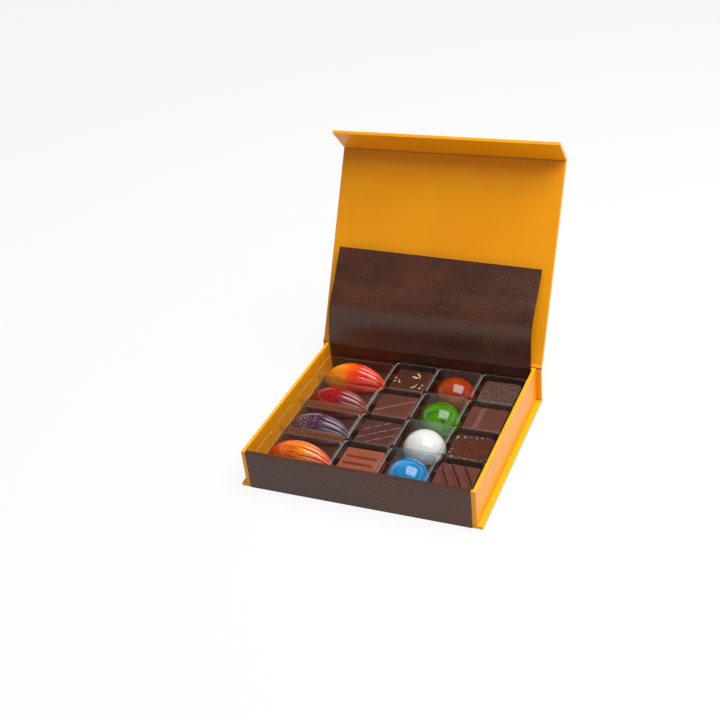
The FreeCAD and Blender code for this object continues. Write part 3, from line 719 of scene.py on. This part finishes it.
left = -(POD_POCKET + 3 * (SQUARE_POCKET + DIVIDER)) / 2
COLUMNS = (
    (POD_POCKET, POD_POCKET_DEEP, 0.1),
    (SQUARE_POCKET, SQUARE_POCKET, 0.1),
    (SQUARE_POCKET, SQUARE_POCKET, 0.38),
    (SQUARE_POCKET, SQUARE_POCKET, 0.1),
)
for column, (width, deep, haze_and_reflection_share) in enumerate(COLUMNS):
    front = -(4 * SQUARE_POCKET + 3 * DIVIDER) / 2
    for row in range(4):
        cell_low = Vector((left - DIVIDER / 2 + CELL_GAP, front - DIVIDER / 2 + CELL_GAP))
        cell_high = Vector((left + width + DIVIDER / 2, front + SQUARE_POCKET + DIVIDER / 2))
        if column == 0:
            cell_low.x = insert_low.x
        if column == 3:
            cell_high.x = insert_high.x
        if row == 0:
            cell_low.y = insert_low.y
        if row == 3:
            cell_high.y = insert_high.y
        add_pocket(
            Vector((left + width / 2, front + SQUARE_POCKET / 2, divider_top - POCKET_DEPTH / 2)),
            Vector((width, deep, POCKET_DEPTH)),
            cell_low,
            cell_high,
            haze_and_reflection_share,
            column == 0,
        )
        front += SQUARE_POCKET + DIVIDER
    left += width + DIVIDER
lip = bmesh.new()
bmesh.ops.create_cube(lip, size=1.0)
lip_size = Vector((insert_high.x - insert_low.x, insert_high.y - insert_low.y, LIP_RISE))
bmesh.ops.scale(lip, vec=lip_size, verts=lip.verts)
open_ends = [face for face in lip.faces if abs(face.normal.z) > LEVEL]
bmesh.ops.delete(lip, geom=open_ends, context="FACES_ONLY")
soften(lip, [edge for edge in lip.edges if not edge.is_boundary], LIP_CORNER, 6)
bmesh.ops.recalc_face_normals(lip, faces=lip.faces)
if sum(face.normal.dot(face.calc_center_median()) for face in lip.faces) < 0:
    bmesh.ops.reverse_faces(lip, faces=lip.faces)
bmesh.ops.translate(lip, vec=(0, 0, divider_top + LIP_RISE / 2), verts=lip.verts)
add_sheet(lip)
bpy.data.meshes.remove(insert_sheets)
settle(insert, "clear_insert_shown", clear_sheet, ["clear_insert"], "insert")

# Cocoa pods
# Moulded shells in the shape of cocoa pods, in coloured cocoa butter flicked and sprayed into the mould.
# Each is smooth and speckled at its left and runs out in glossy ribs at its right tip, with painted
# highlight on the ribs and painted shade in the grooves between them.
POD_RIBS = 7
POD_RIB_DEPTH = 0.05
POD_FULLNESS = 0.58
POD_WIDE = 23.8 * MM
POD_HIGH = 17.2 * MM
HAIR_GAP = 0.02 * MM
RIBS_START = -0.25
RIBS_GROW = 0.6
RIB_SHARPNESS = 0.6


def pod(name, paint):
    """A half pod lying along its pocket, with lengthwise ribs that grow towards its right tip."""
    low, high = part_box(name)
    half_length = (high.x - low.x) / 2
    half_width = POD_WIDE / 2
    bm = bmesh.new()
    along = bm.verts.layers.float.new("along")
    valley = bm.verts.layers.float.new("valley")
    upright = Matrix.Rotation(math.pi / 2, 4, "Y")
    bmesh.ops.create_uvsphere(bm, u_segments=168, v_segments=64, radius=1.0, matrix=upright)
    whole = bm.verts[:] + bm.edges[:] + bm.faces[:]
    bmesh.ops.bisect_plane(bm, geom=whole, plane_co=(0, 0, 0), plane_no=(0, 0, 1), clear_inner=True)
    bmesh.ops.holes_fill(bm, edges=[edge for edge in bm.edges if edge.is_boundary], sides=0)
    for vert in bm.verts:
        share = min(max(vert.co.x, -1.0), 1.0)
        turn = math.atan2(max(vert.co.z, 0.0), vert.co.y)
        ribbed = min(max((share - RIBS_START) / RIBS_GROW, 0.0), 1.0)
        vert[along] = (share + 1) / 2
        vert[valley] = ribbed * (1 - abs(math.sin(POD_RIBS * turn)) ** RIB_SHARPNESS)
        reach = (1 - share * share) ** POD_FULLNESS * (1 - POD_RIB_DEPTH * vert[valley])
        vert.co = (
            (low.x + high.x) / 2 + half_length * share,
            (low.y + high.y) / 2 + half_width * reach * math.cos(turn),
            low.z + HAIR_GAP + POD_HIGH * reach * math.sin(turn),
        )
    settle(bm, f"{name}_shown", paint, [name], f"piece_{name}", even=False)


def shell_paint(name, stops, streak, streak_share, speckle, speckle_share, groove_shade, rib_highlight):
    """Sprayed cocoa butter: colours along the pod, streaks, specks, pale ribs as painted highlight, and
    grooves darkened as painted shade.
    """
    paint, shader, place = new_paint(name)
    stretched = wire(paint, "Mapping", Vector=place, Scale=(0.12, 1.0, 1.0)).outputs["Vector"]
    strokes = cloudy(paint, stretched, 300.0, 3.0, 0.6)
    mottle = cloudy(paint, place, 160.0, 4.0, 0.6)
    along = marked(paint, "along")
    drifted = sums(paint, "ADD", along, spread(paint, mottle, -0.1, 0.1, 0.25, 0.75))
    colour = ramp(paint, drifted, *stops)
    streaks = spread(paint, strokes, 0.0, streak_share, 0.47, 0.6)
    colour = layered(paint, streaks, colour, streak)
    smooth = spread(paint, along, speckle_share, 0.0, 0.45, 0.7)
    specks = spread(paint, cloudy(paint, place, 900.0, 1.0), 0.0, 1.0, 0.56, 0.66)
    colour = layered(paint, sums(paint, "MULTIPLY", specks, smooth), colour, speckle)
    # Pale rib crests towards the right tip are painted highlight.
    ribs = spread(paint, marked(paint, "valley"), 0.22, 0.0, 0.0, 0.3)
    rib_highlight_share = sums(paint, "MULTIPLY", ribs, spread(paint, along, 0.0, 1.0, 0.55, 0.8))
    colour = layered(paint, rib_highlight_share, colour, rib_highlight)
    # The grooves between the ribs are darkened as painted shade.
    shade = spread(paint, marked(paint, "valley"), 0.0, 0.9, 0.3, 0.8)
    feed(
        paint,
        shader,
        Base_Color=layered(paint, shade, colour, groove_shade),
        Roughness=spread(paint, mottle, 0.16, 0.28),
        Specular_IOR_Level=0.35,
        Coat_Weight=0.45,
        Coat_Roughness=0.05,
        Normal=embossed(paint, strokes, 0.04 * MM, 0.2),
    )
    return paint


AMBER = (
    (0.0, "D87A00"),
    (0.25, "F89200"),
    (0.42, "F88000"),
    (0.5, "FA3E00"),
    (0.62, "F01A08"),
    (1.0, "D01010"),
)
RUBY = ((0.0, "5A1008"), (0.25, "960A0C"), (0.45, "B80810"), (0.62, "8E0A16"), (1.0, "7A1018"))
PLUM = ((0.0, "3A1822"), (0.4, "50243C"), (0.7, "4A1E3C"), (1.0, "36142C"))
FLAME = (
    (0.0, "6A0E04"),
    (0.18, "C83000"),
    (0.36, "F87400"),
    (0.7, "F89010"),
    (0.9, "E8480E"),
    (1.0, "C82018"),
)
# The last two colours are the painted shade in the grooves and the painted highlight on the ribs.
for name, stops, streak, streaked, speckle, speckled, groove_shade, rib_highlight in (
    ("pod_amber", AMBER, "FFB000", 0.2, "FFC840", 0.1, "B81008", "FFA088"),
    ("pod_ruby", RUBY, "6A0614", 0.4, "30040E", 0.9, "3A0A10", "E8B8B4"),
    ("pod_plum", PLUM, "38162E", 0.5, "C8A8BC", 0.6, "2A0C22", "D8CCD4"),
    ("pod_flame", FLAME, "B81400", 0.8, "FFB030", 0.2, "A81410", "FFD8A0"),
):
    shell = shell_paint(f"{name} shell", stops, streak, streaked, speckle, speckled, groove_shade, rib_highlight)
    pod(name, shell)

# Domes
# Half-round moulded shells with a short upright edge, airbrushed and very glossy.
# Brush strokes of a second colour run over three of them.
DOME_FOOT = 0.5 * MM
SQUARE_TURN = 1.0


def dome(name, paint):
    """A half ball on a short upright edge with a softened foot."""
    low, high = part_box(name)
    radius = (high.x - low.x) / 2
    skirt = high.z - low.z - radius
    bm = bmesh.new()
    bmesh.ops.create_uvsphere(bm, u_segments=96, v_segments=48, radius=radius)
    whole = bm.verts[:] + bm.edges[:] + bm.faces[:]
    bmesh.ops.bisect_plane(bm, geom=whole, plane_co=(0, 0, 0), plane_no=(0, 0, 1), clear_inner=True)
    rim = [edge for edge in bm.edges if edge.is_boundary]
    dropped = bmesh.ops.extrude_edge_only(bm, edges=rim)["geom"]
    foot = [part for part in dropped if isinstance(part, bmesh.types.BMVert)]
    bmesh.ops.translate(bm, vec=(0, 0, -skirt), verts=foot)
    bmesh.ops.holes_fill(bm, edges=[edge for edge in bm.edges if edge.is_boundary], sides=0)
    foot_edges = [edge for edge in bm.edges if edge.calc_face_angle(0.0) > SQUARE_TURN]
    soften(bm, foot_edges, DOME_FOOT, 3)
    middle = (low + high) / 2
    bmesh.ops.translate(bm, vec=(middle.x, middle.y, low.z + skirt + HAIR_GAP), verts=bm.verts)
    settle(bm, f"{name}_shown", paint, [name], f"piece_{name}", even=False)


def brushed_paint(name, base, base_deep, stroke, stroke_share, slant):
    """Airbrushed cocoa butter with brush strokes of another shade."""
    paint, shader, place = new_paint(name)
    turned = wire(paint, "Mapping", Vector=place, Rotation=(0.0, 0.5, slant), Scale=(0.35, 1.0, 1.0))
    strokes = wire(
        paint, "TexNoise", Vector=turned.outputs["Vector"], Scale=190.0, Detail=4.0, Distortion=0.9
    ).outputs["Fac"]
    cloud = cloudy(paint, place, 70.0)
    colour = ramp(paint, cloud, (0.35, base_deep), (0.65, base))
    painted = spread(paint, strokes, 0.0, stroke_share, 0.5, 0.68)
    feed(
        paint,
        shader,
        Base_Color=layered(paint, painted, colour, stroke),
        Roughness=spread(paint, strokes, 0.10, 0.2),
        Specular_IOR_Level=0.35,
        Coat_Weight=0.55,
        Coat_Roughness=0.05,
        Normal=embossed(paint, strokes, 0.04 * MM, 0.2),
    )
    return paint


for name, base, deep, stroke, share, slant in (
    ("dome_copper", "A83A06", "8A2602", "6E1C02", 0.6, 0.6),
    ("dome_green", "58A400", "3A7C00", "1C4C00", 0.75, 1.1),
    ("dome_white", "E4E6E1", "DCDFDA", "D2D6D2", 0.3, 0.2),
    ("dome_blue", "1A86C4", "106CA6", "4CACDC", 0.5, -0.5),
):
    dome(name, brushed_paint(f"{name} shell", base, deep, stroke, share, slant))

# Squares
# Blocks of dark chocolate, and one of milk chocolate, with softened edges and a marking on top.
# Some are moulded with clean lines; the enrobed ones have softer corners and uneven tops.
SQUARE_HEIGHT = 10.8 * MM
SQUARE_EDGE = 1.4 * MM
ENROBED_CORNER = 4.0 * MM
TOP_STEPS = 112
LINE_WIDTH = 0.65
LINE_RISE = 0.36
LINE_SLANT = 34
DRIZZLE_SLANTS = (35, -40)
DRIZZLE_SWAY = 0.35
GROOVE_GAP = 7.5
SHORT_GROOVE_HALF = 11.0
SHORT_GROOVE_SHIFT = 0.8
LONG_GROOVE_SLANT = -60
STITCHES = 8
STITCH_GAP = 2.9
STITCH_HALF = 2.6
STITCH_SHIFT = 4.57
STITCH_SLANT = 35
STITCH_WIDTH = 0.75
GRAIN_SLANT = 40
WRINKLES_OUT = 12.5


def off_line(x, y, slant, shift=0.0):
    """Distance from a line through a square's middle, turned by a slant in degrees, in millimetres."""
    turn = math.radians(slant)
    return y * math.cos(turn) - x * math.sin(turn) - shift


def along_line(x, y, slant):
    """Distance along such a line from the square's middle."""
    turn = math.radians(slant)
    return x * math.cos(turn) + y * math.sin(turn)


def ridge(distance, width, rise):
    """A rounded ridge's height at a distance from its line."""
    return rise * math.exp(-((distance / width) ** 2))


def trough(distance, width, depth):
    """A flat-bottomed groove's depth at a distance from its line."""
    return -depth * math.exp(-((distance / width) ** 4))


def diagonal_top(x, y):
    """One fine raised line from corner to corner."""
    return ridge(off_line(x, y, LINE_SLANT), LINE_WIDTH, LINE_RISE)


def drizzle_top(x, y):
    """Thin lines drizzled both ways, not quite straight."""
    sway = DRIZZLE_SWAY * noise.noise(Vector((x * 0.16, y * 0.16, 2.0)))
    lines = [
        off_line(x, y, slant, shift) + sway
        for slant in DRIZZLE_SLANTS
        for shift in (-GROOVE_GAP, 0.0, GROOVE_GAP)
    ]
    return max(ridge(distance, LINE_WIDTH, LINE_RISE) for distance in lines)


def two_groove_top(x, y):
    """Two short straight grooves side by side."""
    inside = 1 / (1 + math.exp((abs(x + SHORT_GROOVE_SHIFT) - SHORT_GROOVE_HALF) * 4))
    return inside * min(trough(y - shift, 1.15, 1.8) for shift in (-GROOVE_GAP / 2, GROOVE_GAP / 2))


def slant_groove_top(x, y):
    """Three slanting grooves that run out over the edges."""
    shifts = (-GROOVE_GAP, 0.0, GROOVE_GAP)
    return min(trough(off_line(x, y, LONG_GROOVE_SLANT, shift), 1.4, 1.9) for shift in shifts)


def stitch_top(x, y):
    """A row of short slanting beads, like a seam."""
    height = 0.0
    for count in range(STITCHES):
        bead_x = x + STITCH_SHIFT
        bead_y = y - (count - (STITCHES - 1) / 2) * STITCH_GAP
        long_way = along_line(bead_x, bead_y, STITCH_SLANT)
        bead = ridge(off_line(bead_x, bead_y, STITCH_SLANT), STITCH_WIDTH, LINE_RISE)
        height = max(height, bead * math.exp(-((long_way / STITCH_HALF) ** 4)))
    return height


def grain_top(x, y):
    """A fine slanting grain."""
    along, across = along_line(x, y, GRAIN_SLANT), off_line(x, y, GRAIN_SLANT)
    fine = noise.noise(Vector((along * 0.9, across * 2.6, 1.0)))
    return 0.14 * fine - 0.12


def wrinkled_top(x, y):
    """Soft lumps, with folds that rise towards the edges."""
    lumps = noise.noise(Vector((x * 0.16, y * 0.16, 7.0)))
    folds = noise.noise(Vector((x * 0.32, y * 0.32, 3.0)))
    edge = min(max(abs(x), abs(y)) / WRINKLES_OUT, 1.0)
    return edge**4 * (0.5 + 1.3 * folds) + 0.4 * lumps - 1.1


def plain_top(x, y):
    """Very slightly uneven."""
    return 0.08 * noise.noise(Vector((x * 0.22, y * 0.22, 5.0))) - 0.06


def square(name, paint, corner, top):
    """A block with a finely divided top that its marking is pressed into or raised on."""
    low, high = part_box(name)
    half = (high.x - low.x) / 2
    middle = (low + high) / 2
    bm = bmesh.new()
    paler_mark = bm.verts.layers.float.new("wear_and_painted_light")
    bmesh.ops.create_grid(bm, x_segments=TOP_STEPS, y_segments=TOP_STEPS, size=half)
    rim = [edge for edge in bm.edges if edge.is_boundary]
    dropped = bmesh.ops.extrude_edge_only(bm, edges=rim)["geom"]
    foot = {part for part in dropped if isinstance(part, bmesh.types.BMVert)}
    bmesh.ops.translate(bm, vec=(0, 0, -SQUARE_HEIGHT), verts=list(foot))
    bmesh.ops.holes_fill(bm, edges=[edge for edge in bm.edges if edge.is_boundary], sides=0)
    for vert in bm.verts:
        x, y = vert.co.x, vert.co.y
        inward = max(half - max(abs(x), abs(y)), 0.0)
        past = Vector((max(abs(x) - half + corner, 0), max(abs(y) - half + corner, 0)))
        if past.x > 0 and past.y > 0:
            past *= max(past) / past.length
            x = math.copysign(half - corner + past.x, x)
            y = math.copysign(half - corner + past.y, y)
        if vert not in foot:
            rise = top(x / MM, y / MM) * min(1.0, inward / SQUARE_EDGE)
            vert.co.z += rise * MM
            if inward < SQUARE_EDGE:
                vert.co.z -= SQUARE_EDGE - math.sqrt(SQUARE_EDGE**2 - (SQUARE_EDGE - inward) ** 2)
            # Paler along the rounded edge as rubbed wear, and along raised lines as painted highlight.
            edge = 1 - abs(inward - 0.4 * SQUARE_EDGE) / SQUARE_EDGE
            vert[paler_mark] = min(1.0, max(0.0, edge, rise / LINE_RISE))
        vert.co.x = x + middle.x
        vert.co.y = y + middle.y
        vert.co.z += low.z + SQUARE_HEIGHT + HAIR_GAP
    settle(bm, f"{name}_shown", paint, [name], f"piece_{name}", even=False)


def chocolate_paint(name, shades, gloss, grain=1600.0, grain_depth=0.04 * MM, grain_share=0.1):
    """Tempered chocolate: an uneven, grained brown, rubbed paler along its edges and painted paler along
    raised lines as highlight, with a soft gloss.
    """
    deep, light, rub_and_highlight = shades
    paint, shader, place = new_paint(name)
    cloud = cloudy(paint, place, 180.0, 4.0, 0.55)
    fine = cloudy(paint, place, grain, 2.0)
    scuffs = spread(paint, cloudy(paint, place, 700.0), 0.0, 0.5, 0.4, 0.65)
    rubbed_and_lit = sums(paint, "MULTIPLY", marked(paint, "wear_and_painted_light"), scuffs)
    grains = spread(paint, fine, 0.0, grain_share, 0.5, 0.6)
    brown = ramp(paint, cloud, (0.3, deep), (0.7, light))
    feed(
        paint,
        shader,
        Base_Color=layered(paint, sums(paint, "MAXIMUM", rubbed_and_lit, grains), brown, rub_and_highlight),
        Roughness=spread(paint, cloud, *gloss),
        Coat_Weight=0.15,
        Coat_Roughness=0.2,
        Normal=embossed(paint, fine, grain_depth, 0.4),
    )
    return paint


# Each list: deep brown, light brown, and the paler colour of rubbed edges and of painted highlight on raised
# lines.
DARK = ("421C14", "4E241A", "6E4034")
MELLOW = ("54281E", "602F24", "7E5042")
GRAINED = ("3A1F18", "46281E", "84604F")
ENROBED = ("44201A", "52291F", "6A4034")
MILK = ("8A4028", "964A30", "A8664C")
dark = chocolate_paint("dark chocolate", DARK, (0.36, 0.48))
mellow = chocolate_paint("mellow dark chocolate", MELLOW, (0.4, 0.5))
grained = chocolate_paint("grained chocolate", GRAINED, (0.42, 0.55), 850.0, 0.3 * MM, 0.7)
enrobed = chocolate_paint("enrobed chocolate", ENROBED, (0.14, 0.24), 900.0, 0.05 * MM)
milk = chocolate_paint("milk chocolate", MILK, (0.38, 0.5))
for name, paint, slot, corner, top in (
    ("square_gold_fleck", dark, "dark_chocolate", SQUARE_EDGE, plain_top),
    ("square_diagonal_line", mellow, "dark_chocolate", SQUARE_EDGE, diagonal_top),
    ("square_drizzle", dark, "dark_chocolate", SQUARE_EDGE, drizzle_top),
    ("square_two_groove", milk, "milk_chocolate", SQUARE_EDGE, two_groove_top),
    ("square_fine_grain", grained, "dark_chocolate", ENROBED_CORNER, grain_top),
    ("square_stitch", mellow, "dark_chocolate", SQUARE_EDGE, stitch_top),
    ("square_wrinkled", enrobed, "dark_chocolate", ENROBED_CORNER, wrinkled_top),
    ("square_slant_groove", mellow, "dark_chocolate", SQUARE_EDGE, slant_groove_top),
):
    square(name, paint, corner, top)

# Gold flecks
# Crumpled scraps of gold leaf laid on one square by hand, in three loose clusters.
# Each is a tiny bent sheet that stays where the chocolate set.
FLECK_CLUSTERS = ((-8.0, -2.5, 4), (4.5, 6.0, 12), (7.0, -7.0, 8))
CLUSTER_WIDE = 4.0
CLUSTER_DEEP = 3.0
FLECK_LIFT = 0.12
FLECK_CRUMPLE = 0.25
FLECK_THICK = 0.05
gold, shader, place = new_paint("gold leaf")
crumple = cloudy(gold, place, 1800.0, 2.0)
feed(
    gold,
    shader,
    Base_Color=ramp(gold, crumple, (0.3, "E8BE6A"), (0.7, "FBEBC0")),
    Metallic=0.35,
    Roughness=spread(gold, crumple, 0.25, 0.45),
    Normal=embossed(gold, crumple, 0.1 * MM),
)
fleck_low, fleck_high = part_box("square_gold_fleck")
fleck_middle = (fleck_low + fleck_high) / 2
draw = random.Random(11)
flecks = bmesh.new()
for cluster_x, cluster_y, count in FLECK_CLUSTERS:
    for _ in range(count):
        x = cluster_x + draw.uniform(-CLUSTER_WIDE, CLUSTER_WIDE)
        y = cluster_y + draw.uniform(-CLUSTER_DEEP, CLUSTER_DEEP)
        spin = Matrix.Rotation(draw.uniform(0, math.tau), 4, "Z")
        shape = Matrix.Diagonal((draw.uniform(0.5, 1.0), draw.uniform(0.35, 0.6), 1.0, 1.0))
        lift = SQUARE_HEIGHT / MM + FLECK_LIFT
        spot = Matrix.Translation((x, y, lift)) @ spin @ shape
        made = bmesh.ops.create_grid(flecks, x_segments=6, y_segments=4, size=1.0, matrix=spot)
        for vert in made["verts"]:
            vert.co.z += FLECK_CRUMPLE * abs(noise.noise(vert.co * 1.7))
            vert.co.x += FLECK_CRUMPLE * noise.noise(vert.co * 1.1)
            vert.co.y += FLECK_CRUMPLE * noise.noise(vert.co * 1.3 + Vector((5, 0, 0)))
bmesh.ops.solidify(flecks, geom=flecks.faces[:], thickness=FLECK_THICK)
bmesh.ops.scale(flecks, vec=(MM, MM, MM), verts=flecks.verts)
bmesh.ops.translate(flecks, vec=(fleck_middle.x, fleck_middle.y, fleck_low.z), verts=flecks.verts)
settle(flecks, "gold_flecks", gold, [], "piece_square_gold_fleck", even=False)

# Floor, light and camera
# A white studio sweep, floor and wall in one, under one large softbox overhead in a dim room.
# The sweep keeps a faint shadow round the box.
SWEEP_RADIUS = 3.0
SWEEP_HEIGHT = 1.6
SWEEP_CURVE = 0.5
SWEEP_DROP = 0.1 * MM
SWEEP_GLOW = 0.88
ROOM_LIGHT = 0.2
SOFTBOX_SIZE = 0.9
SOFTBOX_POWER = 14.0
SOFTBOX_PLACE = Vector((0.37, 0.08, 0.95))
SOFTBOX_AIM = Vector((0, 0, 0.03))
sweep_paint = bpy.data.materials.new("white sweep")
sweep_paint.use_nodes = True
sweep_paint.node_tree.nodes.remove(sweep_paint.node_tree.nodes["Principled BSDF"])
rays = wire(sweep_paint, "LightPath")
seen = sums(sweep_paint, "MAXIMUM", rays.outputs["Is Camera Ray"], rays.outputs["Is Glossy Ray"])
seen = sums(sweep_paint, "MAXIMUM", seen, rays.outputs["Is Transmission Ray"])
matt = wire(sweep_paint, "BsdfDiffuse", Color=linear("F0F0F0"))
glow = wire(sweep_paint, "Emission", Color=linear("FFFFFF"), Strength=1.0)
both = wire(sweep_paint, "MixShader", Fac=sums(sweep_paint, "MULTIPLY", seen, SWEEP_GLOW))
sweep_paint.node_tree.links.new(matt.outputs["BSDF"], both.inputs[1])
sweep_paint.node_tree.links.new(glow.outputs["Emission"], both.inputs[2])
sweep_out = sweep_paint.node_tree.nodes["Material Output"].inputs["Surface"]
sweep_paint.node_tree.links.new(both.outputs["Shader"], sweep_out)
sweep_shape = bmesh.new()
bmesh.ops.create_cone(
    sweep_shape,
    cap_ends=True,
    segments=96,
    radius1=SWEEP_RADIUS,
    radius2=SWEEP_RADIUS,
    depth=SWEEP_HEIGHT,
    matrix=Matrix.Translation((0, 0, SWEEP_HEIGHT / 2 - SWEEP_DROP)),
)
open_top = [face for face in sweep_shape.faces if face.calc_center_median().z > 0.9 * SWEEP_HEIGHT]
bmesh.ops.delete(sweep_shape, geom=open_top, context="FACES_ONLY")
floor_edges = [edge for edge in sweep_shape.edges if edge.calc_face_angle(0.0) > SQUARE_TURN]
soften(sweep_shape, floor_edges, SWEEP_CURVE, 10)
bmesh.ops.reverse_faces(sweep_shape, faces=sweep_shape.faces)
sweep_mesh = bpy.data.meshes.new("sweep")
sweep_shape.to_mesh(sweep_mesh)
sweep_shape.free()
sweep_mesh.shade_smooth()
sweep_mesh.materials.append(sweep_paint)
sweep = bpy.data.objects.new("sweep", sweep_mesh)
bpy.context.scene.collection.objects.link(sweep)

world = bpy.data.worlds.new("dim room")
bpy.context.scene.world = world
world.use_nodes = True
feed(world, world.node_tree.nodes["Background"], Color=linear("FFFFFF"), Strength=ROOM_LIGHT)

softbox = bpy.data.lights.new("softbox", "AREA")
softbox.shape = "SQUARE"
softbox.size = SOFTBOX_SIZE
softbox.energy = SOFTBOX_POWER
lamp = bpy.data.objects.new("softbox", softbox)
lamp.location = SOFTBOX_PLACE
lamp.rotation_euler = (SOFTBOX_AIM - SOFTBOX_PLACE).to_track_quat("-Z", "Y").to_euler()
bpy.context.scene.collection.objects.link(lamp)

CAMERA_PLACE = Vector((0.26259, -0.59132, 0.47227))
CAMERA_YAW = math.radians(25.64)
CAMERA_PITCH = math.radians(31.73)
CAMERA_ROLL = math.radians(-6.52)
CAMERA_LENS = 56.14
lens = bpy.data.cameras.new("camera")
lens.lens = CAMERA_LENS
camera = bpy.data.objects.new("camera", lens)
back = Vector(
    (
        math.sin(CAMERA_YAW) * math.cos(CAMERA_PITCH),
        -math.cos(CAMERA_YAW) * math.cos(CAMERA_PITCH),
        math.sin(CAMERA_PITCH),
    )
)
level = (-back).cross(Vector((0, 0, 1))).normalized()
above = level.cross(-back)
right = math.cos(CAMERA_ROLL) * level + math.sin(CAMERA_ROLL) * above
upward = math.cos(CAMERA_ROLL) * above - math.sin(CAMERA_ROLL) * level
turned = Matrix((right, upward, back)).transposed().to_4x4()
camera.matrix_world = Matrix.Translation(CAMERA_PLACE) @ turned
bpy.context.scene.collection.objects.link(camera)
bpy.context.scene.camera = camera
bpy.context.scene.view_settings.view_transform = "Standard"
